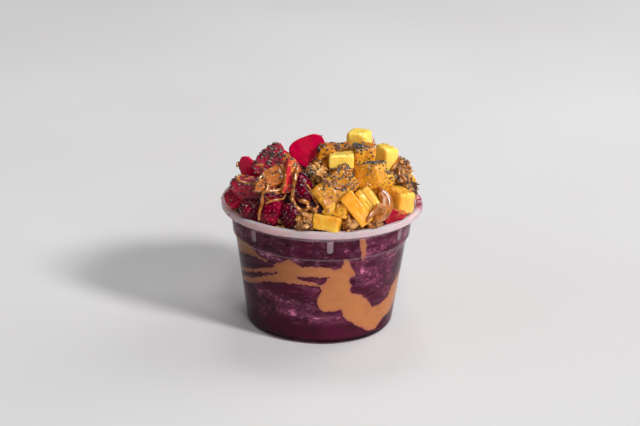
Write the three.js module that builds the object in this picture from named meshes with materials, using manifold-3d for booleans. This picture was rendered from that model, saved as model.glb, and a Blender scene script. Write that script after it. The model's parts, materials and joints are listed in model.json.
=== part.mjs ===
// A pitaya bowl to take away: a clear deli tub filled with blended pitaya, peanut butter smeared round the
// inside of its wall, and a heap of granola, strawberry and mango with chia seeds and peanut butter drizzle.
// Millimetres, +Z up, the front of the bowl is -Y. The origin is the middle of the tub's foot.

import * as THREE from "three";
import { mergeVertices } from "three/addons/utils/BufferGeometryUtils.js";
import manifoldModule from "manifold-3d";

const wasm = await manifoldModule();
wasm.setup();
const { Manifold, Mesh: SolidMesh } = wasm;

// The tub
const TUB_HEIGHT = 75;
const RIM_RADIUS = 58.5;
const RIM_INNER_RADIUS = 54.8;
const RIM_DEPTH = 4.4;
const RIM_CORNER = 1.3;
const WALL = 0.9;
const BAND_TOP_RADIUS = 53.2;
const BAND_TOP_Z = 69.8;
const BAND_FOOT_RADIUS = 51.7;
const SHOULDER_TOP_Z = 56.5;
const SHOULDER_FOOT_Z = 55;
const BODY_TOP_RADIUS = 50.2;
const BODY_FOOT_RADIUS = 43.3;
const BODY_FOOT_Z = 5;
const FOOT_OUTER_RADIUS = 39;
const FOOT_INNER_RADIUS = 35;
const FOOT_RECESS = 1;
const FLOOR_Z = 2.2;
const CORNER_ANGLES = [30, 60];
const TURN_SEGMENTS = 32;

// The stacking lugs round the band under the rim
const LUG_COUNT = 7;
const LUG_FIRST_ANGLE = 5.5;
const LUG_WIDTH = 3.5;
const LUG_TOP_Z = 67.5;
const LUG_FOOT_Z = 60.5;
const LUG_PROUD = 0.7;
const LUG_END_SEGMENTS = 3;

// The filling
const GAP = 0.3;
const FILL_Z = 68.5;
const FILL_RISE = 3.5;
const FILL_RADII = [18, 36];
const SMEAR_DEPTH = 3;
const SMEAR_FOOT_Z = 5;
const SMEAR_TOP_Z = 67.5;
const BLOCK_POINT_Z = 35;
const BLOCK_INNER_SHARE = 0.86;
const BLOCK_OUTER_SHARE = 6;
const LONGEST_MITRE = 2.5;

// The heap
const CORE_RADIUS = 51;
const CORE_RISE = 25;
const CORE_LEAN = 0.36;
const CORE_RADII = [16, 30, 41, 48];
const CORE_FLATNESS = 2.6;
const CORE_FULLNESS = 0.7;
const CORE_SEGMENTS = 16;
const HEAP_FOCUS = new THREE.Vector3(0, 0, 70);
const CAST_DISTANCE = 90;
const KEEP_OUT_REACH = 20;
const KEEP_OUT_DEPTH = 15;
const FRONT_WEIGHT = 2;
const FRUIT_GAP = 0.8;
const CORNER_WANDER = 0.14;
const CUBE_ROUNDNESS = 11;
const CUBE_STEPS = 2;
const BERRY_SEGMENTS = 10;
const BERRY_CUTTER_SEGMENTS = 8;
const SEED_HALF_SIZE = [1.1, 0.8, 0.75];
const SEED_TRIES = 66;
const SEED_LOWEST = 8;
const SEED_STREAM = 99;
const FLAKE_HALF_SIZE = [3.2, 2.5, 1];
const FLAKE_TRIES = 60;
const FLAKE_LOWEST = 4;
const GRANOLA_STREAM = 7;
const CLUSTER_WANDER = 0.25;
const SMALL_LUMP_RADIUS = 5.6;
const STRAND_STEP = 4.5;
const STRAND_SIDES = 5;
const SHORTEST_RUN = 2;
const SMALLEST_DETAIL = 0.03;
const SMALLEST_HIDDEN_DETAIL = 0.08;
const SMALLEST_GRANOLA_DETAIL = 0.25;

const DEGREE = Math.PI / 180;
const WELD_DISTANCE = 1e-4;
const ROUGHNESS = 0.5;

// Peanut butter seen through the wall: degrees round from the front, millimetres up. Outlines run clockwise,
// the hole the other way.
const FRONT_SMEAR = [
  [-61, 57.4], [-54, 57], [-50, 53.5], [-36, 49.7], [-30, 50], [-21, 54.5], [-17, 52], [-12, 51], [5, 50.8],
  [11, 49.5], [14.5, 51.5], [15.5, 56.5], [19, 54], [21, 50], [24, 45.5], [20, 42], [22, 38.5], [22.5, 34],
  [31, 30.5], [36, 27], [40, 23], [47, 21], [55, 22], [60, 24], [64, 29.5], [76, 34.5], [88, 41], [100, 49],
  [112, 54], [121, 52.5], [121, 47.5], [100, 36], [90, 26], [78, 17], [67, 11.5], [57, 10], [49, 5.6],
  [42, 5.8], [29, 11.5], [19, 17.5], [15, 23], [7, 22], [1, 23.5], [-2, 29], [1, 37], [-4, 39],
  [-21, 38.8], [-38, 37], [-58, 31], [-72, 28], [-80, 29.5], [-51, 37.2], [-32, 43.8], [-51, 39],
  [-80, 31.7], [-86, 33], [-75, 36],
  [-46, 43.5], [-33, 48], [-46, 49.7], [-57, 49.2], [-84, 45], [-98, 47.5], [-92, 55], [-75, 57],
];
const FRONT_SMEAR_HOLE = [[-11, 42], [-4, 40.8], [1, 39.9], [4.5, 43], [5, 44.6], [-9, 44.2], [-17, 43.5]];
const FRONT_DRIP = [[24.5, 67], [28.5, 67], [29.8, 55], [28.8, 53.5], [27.4, 54.5]];
const BACK_SMEAR = [
  [136, 26], [146, 33], [156, 42], [168, 51], [182, 54], [196, 52], [208, 46], [218, 46], [230, 51],
  [236, 49], [234, 43], [224, 37], [212, 33], [200, 38], [188, 43], [178, 40], [170, 30], [160, 20],
  [148, 12], [138, 15],
];
const BACK_DRIP = [[172, 67], [176, 67], [177, 61], [175, 58.5], [173, 61]];

// Mango: middle, size and turns about X, Y and Z in degrees. The first rows are the pieces at the front.
const MANGO = [
  { name: "mango_01", at: [21, 14, 104.5], size: [13, 13, 15], turn: [0, -4, -16] },
  { name: "mango_02", at: [36, 0, 99], size: [11, 11, 17], turn: [0, 4, -41] },
  { name: "mango_03", at: [10.5, -24, 104], size: [14, 13, 14], turn: [-6, -4, 4] },
  { name: "mango_04", at: [8, -39, 95], size: [24, 12, 16], turn: [-24, -38, 0] },
  { name: "mango_05", at: [22, -16, 105], size: [13, 13, 15], turn: [0, 5, 20] },
  { name: "mango_06", at: [27, -31, 99.5], size: [15, 13, 14], turn: [-10, -10, -25] },
  { name: "mango_07", at: [32, -25, 94], size: [12, 12, 13], turn: [0, 12, -40] },
  { name: "mango_08", at: [18.5, -45, 85], size: [8, 14, 19], turn: [-12, -38, 8] },
  { name: "mango_09", at: [27, -40, 88], size: [10, 15, 18], turn: [-12, -36, -6] },
  { name: "mango_10", at: [44, -26, 84.3], size: [15, 14, 12.5], turn: [0, 8, -50] },
  { name: "mango_11", at: [4, -48.5, 78], size: [16, 12, 9], turn: [-10, 6, -18] },
  { name: "mango_12", at: [8.4, -46, 84.3], size: [15, 9.5, 8], turn: [-24, 14, -15] },
  { name: "mango_13", at: [0, -17, 106.5], size: [9, 10, 13], turn: [0, 20, 10] },
  { name: "mango_14", at: [13, -4, 103.5], size: [11, 12, 11], turn: [0, 0, 12] },
  { name: "mango_15", at: [40, 22, 86], size: [15, 14, 14], turn: [10, 20, 30] },
  { name: "mango_16", at: [26, 33, 87], size: [14, 15, 14], turn: [25, 0, -30] },
  { name: "mango_17", at: [43, 33, 79], size: [14, 13, 13], turn: [15, 20, 40] },
  { name: "mango_18", at: [9, 37, 87], size: [15, 12, 14], turn: [30, 8, 10] },
  { name: "mango_19", at: [14, 48, 80.5], size: [16, 12, 12], turn: [20, -8, 15] },
  { name: "mango_20", at: [30, 45, 80.5], size: [14, 12, 13], turn: [10, 14, -35] },
  { name: "mango_21", at: [4, 16, 95], size: [14, 14, 11], turn: [8, -6, 35] },
  { name: "mango_22", at: [47, 8, 81], size: [12, 15, 13], turn: [0, 18, 10] },
];

// Strawberry: a piece is a half, a quarter or a slice, its tip along +Z and its cut face towards the front
// before it is turned
const STRAWBERRY = [
  { name: "strawberry_01", cut: "half", at: [-7.8, -12, 106.7], length: 19, width: 21, turn: [-15, 157, 0] },
  { name: "strawberry_02", cut: "half", at: [-40, -14, 96.5], length: 19, width: 14, turn: [-10, -28, -30] },
  { name: "strawberry_03", cut: "half", at: [-29, -16, 103], length: 23, width: 15, turn: [-10, 30, -10] },
  { name: "strawberry_04", cut: "quarter", at: [-17, -31, 99], length: 21, width: 22, turn: [-20, 8, 20] },
  { name: "strawberry_05", cut: "half", at: [-11, -41, 95], length: 20, width: 13, turn: [-16, -8, 180] },
  { name: "strawberry_06", cut: "half", at: [-27, -43, 80.5], length: 18, width: 16, turn: [14, 18, 180] },
  { name: "strawberry_07", cut: "half", at: [-16.5, -47, 80], length: 16, width: 14, turn: [6, -30, 180] },
  { name: "strawberry_08", cut: "quarter", at: [-28, -30, 96], length: 24, width: 22, turn: [-28, -112, 10] },
  { name: "strawberry_09", cut: "half", at: [-46, -21, 82], length: 18, width: 15, turn: [-6, 58, -60] },
  { name: "strawberry_10", cut: "slice", at: [-43, -26, 89], length: 20, width: 16, turn: [-36, -70, -35] },
  { name: "strawberry_11", cut: "half", at: [-39, -35, 80], length: 16, width: 14, turn: [10, 70, 140] },
  { name: "strawberry_12", cut: "half", at: [40.6, -34.6, 78.4], length: 15, width: 10.5, turn: [-20, 75, 40] },
  { name: "strawberry_13", cut: "half", at: [-27, -38, 89], length: 17, width: 14, turn: [-20, 80, 180] },
  { name: "strawberry_14", cut: "half", at: [-41, 7, 88], length: 19, width: 16, turn: [20, -30, 120] },
  { name: "strawberry_15", cut: "half", at: [-44, 24, 81], length: 18, width: 15, turn: [30, -50, 140] },
  { name: "strawberry_16", cut: "quarter", at: [-24, 10, 93], length: 21, width: 20, turn: [20, 40, 150] },
  { name: "strawberry_17", cut: "half", at: [-26, 31, 86], length: 20, width: 17, turn: [35, -20, 180] },
  { name: "strawberry_18", cut: "half", at: [-30, 43, 80], length: 16, width: 14, turn: [25, 60, 170] },
  { name: "strawberry_19", cut: "slice", at: [-9, 38, 86], length: 19, width: 16, turn: [45, 15, 180] },
  { name: "strawberry_20", cut: "half", at: [-10, 19, 92], length: 19, width: 15, turn: [60, 20, 160] },
  { name: "strawberry_21", cut: "half", at: [-8, 49, 80], length: 17, width: 14, turn: [20, 100, 0] },
];
const SLICE_THICKNESS = 7;

// Half width of a strawberry against the way from its leaf end to its tip, both as shares
const BERRY_PROFILE = [[0, 0], [0.62, 0.04], [0.96, 0.2], [0.97, 0.45], [0.76, 0.7], [0.42, 0.91], [0, 1]];

// Larger lumps of granola that show between the fruit: middle and radius
const GRANOLA_LUMPS = [
  { at: [-9, -51, 77.5], radius: 5 },
  { at: [-3, -33, 100], radius: 6.5 },
  { at: [16, -50, 77.5], radius: 5 },
  { at: [28, -45, 78], radius: 5 },
  { at: [42, -13, 95], radius: 6.5 },
  { at: [48, -13, 85], radius: 6 },
  { at: [21, 22, 91], radius: 6 },
  { at: [-47, -4, 82], radius: 5.5 },
];

// Peanut butter drizzle: directions out of the heap, degrees round from the front and up
const STRANDS = [
  { radius: 1.3, path: [[-43, 45], [-41, 36], [-39, 26], [-39, 16], [-39, 8]] },
  { radius: 1.2, path: [[-45, 24], [-36, 25], [-30, 28], [-27, 36], [-30, 46], [-38, 50]] },
  { radius: 1.3, path: [[-24, 46], [-22, 36], [-21, 26], [-17, 18], [-11, 16], [-8, 21]] },
  { radius: 1.1, path: [[-13, 36], [-9, 29], [-5, 22], [-4, 16]] },
  { radius: 1.1, path: [[-74, 22], [-66, 26], [-58, 24], [-50, 28], [-46, 38]] },
  { radius: 2.2, path: [[42, 36], [40, 28], [38, 21], [33, 15]] },
  { radius: 1.6, path: [[46, 30], [43, 22], [41, 15]] },
  { radius: 1.2, path: [[10, 52], [30, 50], [48, 46], [60, 38]] },
  { radius: 1.2, path: [[-10, 40], [2, 36], [12, 32], [24, 33]] },
  { radius: 1.3, path: [[-120, 30], [-135, 44], [-155, 54], [-170, 44], [-176, 28]] },
  { radius: 1.3, path: [[110, 26], [128, 42], [150, 52], [160, 36], [152, 20]] },
  { radius: 1.2, path: [[-150, 20], [-160, 32], [-175, 40], [170, 50]] },
];

// A repeatable stream of numbers from 0 to 1
function randomStream(seed) {
  const [factor, shift, range] = [1664525, 1013904223, 2 ** 32];
  let state = seed * 7919 + 12345;
  return () => {
    state = (state * factor + shift) % range;
    return state / range;
  };
}

// A closed solid from a closed surface, turned the right way out
function solidOf(geometry) {
  const bare = new THREE.BufferGeometry();
  bare.setAttribute("position", geometry.getAttribute("position").clone());
  bare.setIndex(geometry.index);
  const welded = mergeVertices(bare, WELD_DISTANCE);
  const spots = welded.getAttribute("position");
  const corners = welded.index.array;
  const triangles = [];
  let sixVolumes = 0;
  const [p, q, r] = [new THREE.Vector3(), new THREE.Vector3(), new THREE.Vector3()];
  for (let i = 0; i < corners.length; i += 3) {
    const [a, b, c] = [corners[i], corners[i + 1], corners[i + 2]];
    if (a === b || b === c || c === a) continue;
    triangles.push([a, b, c]);
    p.fromBufferAttribute(spots, a);
    q.fromBufferAttribute(spots, b);
    r.fromBufferAttribute(spots, c);
    sixVolumes += p.dot(q.cross(r));
  }
  const faces = sixVolumes > 0 ? triangles : triangles.map(([a, b, c]) => [a, c, b]);
  return new Manifold(new SolidMesh({
    numProp: 3,
    vertProperties: new Float32Array(spots.array),
    triVerts: new Uint32Array(faces.flat()),
  }));
}

function geometryOf(solid) {
  const mesh = solid.getMesh();
  const geometry = new THREE.BufferGeometry();
  geometry.setAttribute("position", new THREE.BufferAttribute(new Float32Array(mesh.vertProperties), 3));
  geometry.setIndex(new THREE.BufferAttribute(new Uint32Array(mesh.triVerts), 1));
  geometry.computeVertexNormals();
  return geometry;
}

// A body of revolution about Z from a closed outline of [radius, height]
function turned(outline, segments = TURN_SEGMENTS) {
  const points = [...outline, outline[0]].map(([radius, height]) => new THREE.Vector2(radius, height));
  return solidOf(new THREE.LatheGeometry(points, segments).rotateX(Math.PI / 2));
}

// The radius at a height, from a rising table of [height, radius]
function radiusAt(table, height) {
  const upper = Math.max(1, table.findIndex(([z]) => z >= height));
  const [[z0, r0], [z1, r1]] = [table[upper - 1], table[upper]];
  return r0 + ((r1 - r0) * (height - z0)) / (z1 - z0);
}

// The largest closed body of a solid, without details smaller than a size
function mainBody(solid, smallest = SMALLEST_DETAIL) {
  const bodies = solid.simplify(smallest).decompose();
  return bodies.reduce((best, body) => (body.volume() > best.volume() ? body : best));
}

// A copy of a solid that is larger by a margin on every side
function grown(solid, margin) {
  const { min, max } = solid.boundingBox();
  const middle = min.map((low, axis) => (low + max[axis]) / 2);
  const factor = min.map((low, axis) => (max[axis] - low + 2 * margin) / (max[axis] - low));
  return solid.translate(middle.map((value) => -value)).scale(factor).translate(middle);
}

// A plain box that holds a solid with a margin
function boxRound(solid, margin) {
  const { min, max } = solid.boundingBox();
  const size = min.map((low, axis) => max[axis] - low + 2 * margin);
  const middle = min.map((low, axis) => (low + max[axis]) / 2);
  return solidOf(new THREE.BoxGeometry(...size).translate(...middle));
}

function boxesMeet(first, second) {
  const [a, b] = [first.boundingBox(), second.boundingBox()];
  return [0, 1, 2].every((axis) => a.min[axis] < b.max[axis] && b.min[axis] < a.max[axis]);
}

function cutBy(solid, cutters) {
  return cutters.reduce((left, cutter) => (boxesMeet(left, cutter) ? left.subtract(cutter) : left), solid);
}

function meetsAny(solid, others) {
  return others.some((other) => boxesMeet(solid, other) && solid.intersect(other).volume() > 0);
}

// A direction out of the heap, from degrees round from the front and degrees up
function outward(round, up) {
  const level = Math.cos(up * DEGREE);
  return new THREE.Vector3(
    level * Math.sin(round * DEGREE),
    -level * Math.cos(round * DEGREE),
    Math.sin(up * DEGREE),
  );
}

// Inside of the tub's wall as [height, radius]
const innerWall = [
  [BODY_FOOT_Z, BODY_FOOT_RADIUS - WALL],
  [SHOULDER_FOOT_Z, BODY_TOP_RADIUS - WALL],
  [SHOULDER_TOP_Z, BAND_FOOT_RADIUS - WALL],
  [BAND_TOP_Z, BAND_TOP_RADIUS - WALL],
];

// Points on a quarter of an ellipse from the floor up to the wall
function bottomCorner(floorRadius, floorZ, wallRadius, wallZ) {
  return CORNER_ANGLES.map((angle) => [
    floorRadius + (wallRadius - floorRadius) * Math.sin(angle * DEGREE),
    floorZ + (wallZ - floorZ) * (1 - Math.cos(angle * DEGREE)),
  ]);
}

function makeTub() {
  const rimFoot = TUB_HEIGHT - RIM_DEPTH;
  const shell = turned([
    [0, FOOT_RECESS],
    [FOOT_INNER_RADIUS - FOOT_RECESS, FOOT_RECESS],
    [FOOT_INNER_RADIUS, 0],
    [FOOT_OUTER_RADIUS, 0],
    ...bottomCorner(FOOT_OUTER_RADIUS, 0, BODY_FOOT_RADIUS, BODY_FOOT_Z),
    [BODY_FOOT_RADIUS, BODY_FOOT_Z],
    [BODY_TOP_RADIUS, SHOULDER_FOOT_Z],
    [BAND_FOOT_RADIUS, SHOULDER_TOP_Z],
    [BAND_TOP_RADIUS, BAND_TOP_Z],
    [RIM_RADIUS - RIM_CORNER, rimFoot],
    [RIM_RADIUS, rimFoot + RIM_CORNER],
    [RIM_RADIUS, TUB_HEIGHT - RIM_CORNER],
    [RIM_RADIUS - RIM_CORNER, TUB_HEIGHT],
    [RIM_INNER_RADIUS + RIM_CORNER, TUB_HEIGHT],
    [RIM_INNER_RADIUS, TUB_HEIGHT - RIM_CORNER],
    ...[...innerWall].reverse().map(([height, radius]) => [radius, height]),
    ...bottomCorner(FOOT_OUTER_RADIUS, FLOOR_Z, BODY_FOOT_RADIUS - WALL, BODY_FOOT_Z).reverse(),
    [FOOT_OUTER_RADIUS, FLOOR_Z],
    [0, FLOOR_Z],
  ]);
  const half = LUG_WIDTH / 2;
  const reach = (LUG_TOP_Z - LUG_FOOT_Z) / 2;
  const lugShape = new THREE.Shape();
  lugShape.moveTo(half, reach);
  lugShape.lineTo(-half, reach);
  lugShape.lineTo(-half, half - reach);
  lugShape.absarc(0, half - reach, half, Math.PI, 2 * Math.PI, false);
  const lugRoot = WALL / 2;
  const lugMiddle = (LUG_TOP_Z + LUG_FOOT_Z) / 2;
  const lean = Math.atan2(BAND_TOP_RADIUS - BAND_FOOT_RADIUS, BAND_TOP_Z - SHOULDER_TOP_Z);
  const bandRadius = BAND_FOOT_RADIUS + (lugMiddle - SHOULDER_TOP_Z) * Math.tan(lean);
  const thickness = { depth: LUG_PROUD + lugRoot, bevelEnabled: false, curveSegments: LUG_END_SEGMENTS };
  const lug = new THREE.ExtrudeGeometry(lugShape, thickness)
    .translate(0, 0, -lugRoot)
    .rotateX(Math.PI / 2 + lean)
    .translate(0, -bandRadius, lugMiddle);
  const lugs = Array.from({ length: LUG_COUNT }, (_, i) =>
    solidOf(lug.clone().rotateZ((LUG_FIRST_ANGLE + (i * 360) / LUG_COUNT) * DEGREE)));
  return mainBody(Manifold.union([shell, ...lugs]));
}

// Height of the filling's top, which rises a little to the middle
function fillingTop(radius) {
  return FILL_Z + FILL_RISE * (1 - (radius / CORE_RADIUS) ** 2);
}
const fillingEdge = radiusAt(innerWall, FILL_Z) - GAP;

function makeFilling() {
  const floor = FLOOR_Z + GAP;
  const footRadius = BODY_FOOT_RADIUS - WALL - GAP;
  return turned([
    [0, floor],
    [FOOT_OUTER_RADIUS - GAP, floor],
    ...bottomCorner(FOOT_OUTER_RADIUS - GAP, floor, footRadius, BODY_FOOT_Z),
    ...innerWall.slice(0, 3).map(([height, radius]) => [radius - GAP, height]),
    [fillingEdge, FILL_Z],
    ...[...FILL_RADII].reverse().map((radius) => [radius, fillingTop(radius)]),
    [0, fillingTop(0)],
  ]);
}

// Everything that the heap has to stay clear of: the filling below it and the tub round it
function makeKeepOut() {
  const outside = RIM_RADIUS + KEEP_OUT_REACH;
  const bottom = FILL_Z - KEEP_OUT_DEPTH;
  return turned([
    [0, bottom],
    [0, fillingTop(0) + GAP],
    ...FILL_RADII.map((radius) => [radius, fillingTop(radius) + GAP]),
    [fillingEdge, FILL_Z + GAP],
    [radiusAt(innerWall, BAND_TOP_Z) - GAP, BAND_TOP_Z],
    [RIM_INNER_RADIUS - GAP, TUB_HEIGHT - RIM_CORNER],
    [RIM_INNER_RADIUS + RIM_CORNER - GAP, TUB_HEIGHT + GAP],
    [outside, TUB_HEIGHT + GAP],
    [outside, bottom],
  ]);
}

// A ring inside the wall, from which the smears are cut. Its hidden side has few faces.
function wallRing(outerGap, depth, footZ, topZ) {
  const rows = [
    [footZ, radiusAt(innerWall, footZ)],
    ...innerWall.filter(([height]) => height > footZ && height < topZ),
    [topZ, radiusAt(innerWall, topZ)],
  ];
  const body = (inset) => {
    const side = rows.map(([height, radius]) => [radius - inset, height]);
    return [[0, footZ], ...side, [0, topZ]];
  };
  const hollow = turned(body(outerGap + depth), TURN_SEGMENTS / 2);
  return turned(body(outerGap)).subtract(hollow);
}

// An outline moved outwards by a margin, with its corners mitred
function widened(outline, margin) {
  const corners = outline.map(([x, y]) => new THREE.Vector2(x, y));
  const side = THREE.ShapeUtils.isClockWise(corners) ? -1 : 1;
  const edgeNormal = (from, to) => new THREE.Vector2(to.y - from.y, from.x - to.x).setLength(side);
  return corners.map((corner, i) => {
    const before = edgeNormal(corners.at(i - 1), corner);
    const after = edgeNormal(corner, corners[(i + 1) % corners.length]);
    const mitre = before.clone().add(after).multiplyScalar(margin / (1 + before.dot(after)));
    return corner.clone().add(mitre.clampLength(0, LONGEST_MITRE));
  });
}

// A block with flat sides that stands out from a point on the axis through an outline on the wall
function wallBlock(outline, hole, margin) {
  const flat = (points) => points.map(([round, height]) => [round * DEGREE * BODY_TOP_RADIUS, height]);
  const shape = new THREE.Shape(widened(flat(outline), margin));
  if (hole) shape.holes.push(new THREE.Path(widened(flat(hole), -margin)));
  const block = new THREE.ExtrudeGeometry(shape, { depth: 1, bevelEnabled: false });
  const spots = block.getAttribute("position");
  for (let i = 0; i < spots.count; i += 1) {
    const angle = spots.getX(i) / BODY_TOP_RADIUS;
    const reach = BLOCK_INNER_SHARE + spots.getZ(i) * (BLOCK_OUTER_SHARE - BLOCK_INNER_SHARE);
    const radius = radiusAt(innerWall, spots.getY(i)) * reach;
    const height = BLOCK_POINT_Z + (spots.getY(i) - BLOCK_POINT_Z) * reach;
    spots.setXYZ(i, radius * Math.sin(angle), -radius * Math.cos(angle), height);
  }
  return solidOf(block);
}

const SMEARS = [
  { name: "peanut_butter_front", outline: FRONT_SMEAR, hole: FRONT_SMEAR_HOLE },
  { name: "peanut_butter_front_drip", outline: FRONT_DRIP },
  { name: "peanut_butter_back", outline: BACK_SMEAR },
  { name: "peanut_butter_back_drip", outline: BACK_DRIP },
];

// A cube of mango with corners that wander. With more than one step along a side its edges are rounded.
function makeMango(size, steps, random) {
  const geometry = new THREE.BoxGeometry(2, 2, 2, steps, steps, steps);
  const spots = geometry.getAttribute("position");
  const wander = Array.from({ length: 8 }, () => size.map(() => (random() * 2 - 1) * CORNER_WANDER));
  for (let i = 0; i < spots.count; i += 1) {
    const place = [spots.getX(i), spots.getY(i), spots.getZ(i)];
    const powers = place.map((value) => Math.abs(value) ** CUBE_ROUNDNESS);
    const rounding = steps > 1 ? (powers[0] + powers[1] + powers[2]) ** (1 / CUBE_ROUNDNESS) : 1;
    const moved = place.map((value, axis) => {
      const shift = wander.reduce((sum, corner, index) => {
        const weight = place.reduce((share, coordinate, direction) => {
          const side = (index >> direction) & 1 ? 1 : -1;
          return (share * (1 + side * coordinate)) / 2;
        }, 1);
        return sum + weight * corner[axis];
      }, 0);
      return ((value / rounding + shift) * size[axis]) / 2;
    });
    spots.setXYZ(i, ...moved);
  }
  return solidOf(geometry);
}

function makeStrawberry({ cut, length, width }, segments) {
  const half = width / 2 / Math.cos(Math.PI / segments);
  const outline = BERRY_PROFILE.map(([share, rise]) => [share * half, (rise - 0.5) * length]);
  const whole = turned(outline, segments);
  const reach = 2 * length;
  const block = (x, y) => solidOf(new THREE.BoxGeometry(reach, reach, reach).translate(x, y, 0));
  const quarterWidth = width / 4;
  if (cut === "half") return whole.intersect(block(0, reach / 2)).translate([0, -quarterWidth, 0]);
  if (cut === "quarter") {
    return whole.intersect(block(reach / 2, reach / 2)).translate([-quarterWidth, -quarterWidth, 0]);
  }
  return whole.intersect(solidOf(new THREE.BoxGeometry(reach, SLICE_THICKNESS, reach)));
}

function placement({ at, turn }) {
  const turns = new THREE.Euler(...turn.map((angle) => angle * DEGREE), "XYZ");
  return new THREE.Matrix4().makeRotationFromEuler(turns).setPosition(...at).elements;
}

// The core of the granola heap: a low dome over the filling that leans to the front
function makeCore() {
  const domeTop = (radius) => {
    const share = (1 - (radius / CORE_RADIUS) ** CORE_FLATNESS) ** CORE_FULLNESS;
    return fillingTop(0) + CORE_RISE * share;
  };
  const dome = turned([
    [0, fillingTop(0) + GAP],
    ...FILL_RADII.map((radius) => [radius, fillingTop(radius) + GAP]),
    [CORE_RADIUS, FILL_Z + 2 * GAP],
    [CORE_RADIUS, fillingTop(0)],
    ...[...CORE_RADII].reverse().map((radius) => [radius, domeTop(radius)]),
    [0, domeTop(0)],
  ], CORE_SEGMENTS);
  const geometry = geometryOf(dome);
  const spots = geometry.getAttribute("position");
  for (let i = 0; i < spots.count; i += 1) {
    const above = Math.max(0, spots.getZ(i) - fillingTop(0) - GAP);
    spots.setY(i, spots.getY(i) - CORE_LEAN * above);
  }
  return solidOf(geometry);
}

// A rough lump: a ball with its corners moved in and out
function makeLump(radius, random) {
  const rounds = radius > SMALL_LUMP_RADIUS ? 1 : 0;
  const faces = new THREE.IcosahedronGeometry(1, rounds);
  faces.deleteAttribute("normal");
  faces.deleteAttribute("uv");
  const ball = mergeVertices(faces);
  const spots = ball.getAttribute("position");
  for (let i = 0; i < spots.count; i += 1) {
    const reach = radius * (1 + (random() * 2 - 1) * CLUSTER_WANDER);
    spots.setXYZ(i, spots.getX(i) * reach, spots.getY(i) * reach, spots.getZ(i) * reach);
  }
  return solidOf(ball);
}

// A small body laid flat on a surface and spun about its normal
function laidOn(geometry, hit, spin) {
  const stand = new THREE.Quaternion().setFromUnitVectors(new THREE.Vector3(0, 0, 1), hit.face.normal);
  const turn = new THREE.Quaternion().setFromAxisAngle(new THREE.Vector3(0, 0, 1), spin);
  const place = new THREE.Matrix4().compose(hit.point, stand.multiply(turn), new THREE.Vector3(1, 1, 1));
  return solidOf(geometry.clone().applyMatrix4(place));
}

const caster = new THREE.Raycaster();

// The first surface met on the way into the heap along a direction
function firstHit(direction, meshes) {
  const start = HEAP_FOCUS.clone().addScaledVector(direction, CAST_DISTANCE);
  caster.set(start, direction.clone().negate());
  return caster.intersectObjects(meshes, false)[0];
}

// Directions spread evenly over the upper half of a ball
function spreadDirections(count, lowest) {
  const golden = 180 * (3 - Math.sqrt(5));
  const low = Math.sin(lowest * DEGREE);
  return Array.from({ length: count }, (_, i) => {
    const up = Math.asin(low + ((1 - low) * (i + 0.5)) / count) / DEGREE;
    return outward(i * golden, up);
  });
}

// Directions along a strand at an even step
function strandDirections(path) {
  const corners = path.map(([round, up]) => outward(round, up));
  const curve = new THREE.CatmullRomCurve3(corners);
  const steps = Math.ceil(curve.getLength() / DEGREE / STRAND_STEP);
  return curve.getSpacedPoints(steps).map((point) => point.normalize());
}

// Runs of a strand that lie on one piece of fruit
function strandRuns(path, meshes) {
  const runs = [];
  for (const direction of strandDirections(path)) {
    const hit = firstHit(direction, meshes);
    const last = runs[runs.length - 1];
    if (last && hit && last.mesh === hit.object) last.points.push(hit.point);
    else runs.push({ mesh: hit?.object, points: hit ? [hit.point] : [] });
  }
  return runs.filter((run) => run.points.length >= SHORTEST_RUN);
}

function makeStrand(points, radius) {
  const section = new THREE.Shape(Array.from({ length: STRAND_SIDES }, (_, i) => {
    const angle = (i * 2 * Math.PI) / STRAND_SIDES;
    return new THREE.Vector2(radius * Math.cos(angle), radius * Math.sin(angle));
  }));
  const extrudePath = new THREE.CatmullRomCurve3(points);
  const steps = points.length - 1;
  return solidOf(new THREE.ExtrudeGeometry(section, { steps, extrudePath, bevelEnabled: false }));
}

const COLOURS = {
  tub: 0xd9d3da,
  filling: 0x5a2145,
  peanut_butter: 0xb9834f,
  granola: 0x9a6234,
  mango: 0xf2b632,
  strawberry: 0xb3122f,
};

function meshOf(solid, name, colour) {
  const material = new THREE.MeshStandardMaterial({ color: colour, roughness: ROUGHNESS });
  const mesh = new THREE.Mesh(geometryOf(solid), material);
  mesh.name = name;
  return mesh;
}

// Fruit, nearest to the front first: each later piece is cut back from the earlier ones
function makeFruit(keepOut) {
  const mangoes = MANGO.map((row, i) => ({
    ...row,
    colour: COLOURS.mango,
    shape: makeMango(row.size, CUBE_STEPS, randomStream(i + 1)),
    plain: makeMango(row.size, 1, randomStream(i + 1)),
  }));
  const strawberries = STRAWBERRY.map((row) => ({
    ...row,
    colour: COLOURS.strawberry,
    shape: makeStrawberry(row, BERRY_SEGMENTS),
    plain: makeStrawberry(row, BERRY_CUTTER_SEGMENTS),
  }));
  const nearness = ({ at: [, y, z] }) => z - FRONT_WEIGHT * y;
  const fruit = [...mangoes, ...strawberries].sort((a, b) => nearness(b) - nearness(a));
  const cutters = [];
  for (const piece of fruit) {
    const place = placement(piece);
    const placed = piece.shape.transform(place);
    piece.bare = mainBody(cutBy(placed, [keepOut, ...cutters]));
    piece.cutter = grown(piece.plain, FRUIT_GAP).transform(place);
    piece.pocket = boxRound(piece.shape, GAP).transform(place);
    piece.extras = [];
    cutters.push(piece.cutter);
  }
  return fruit;
}

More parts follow.
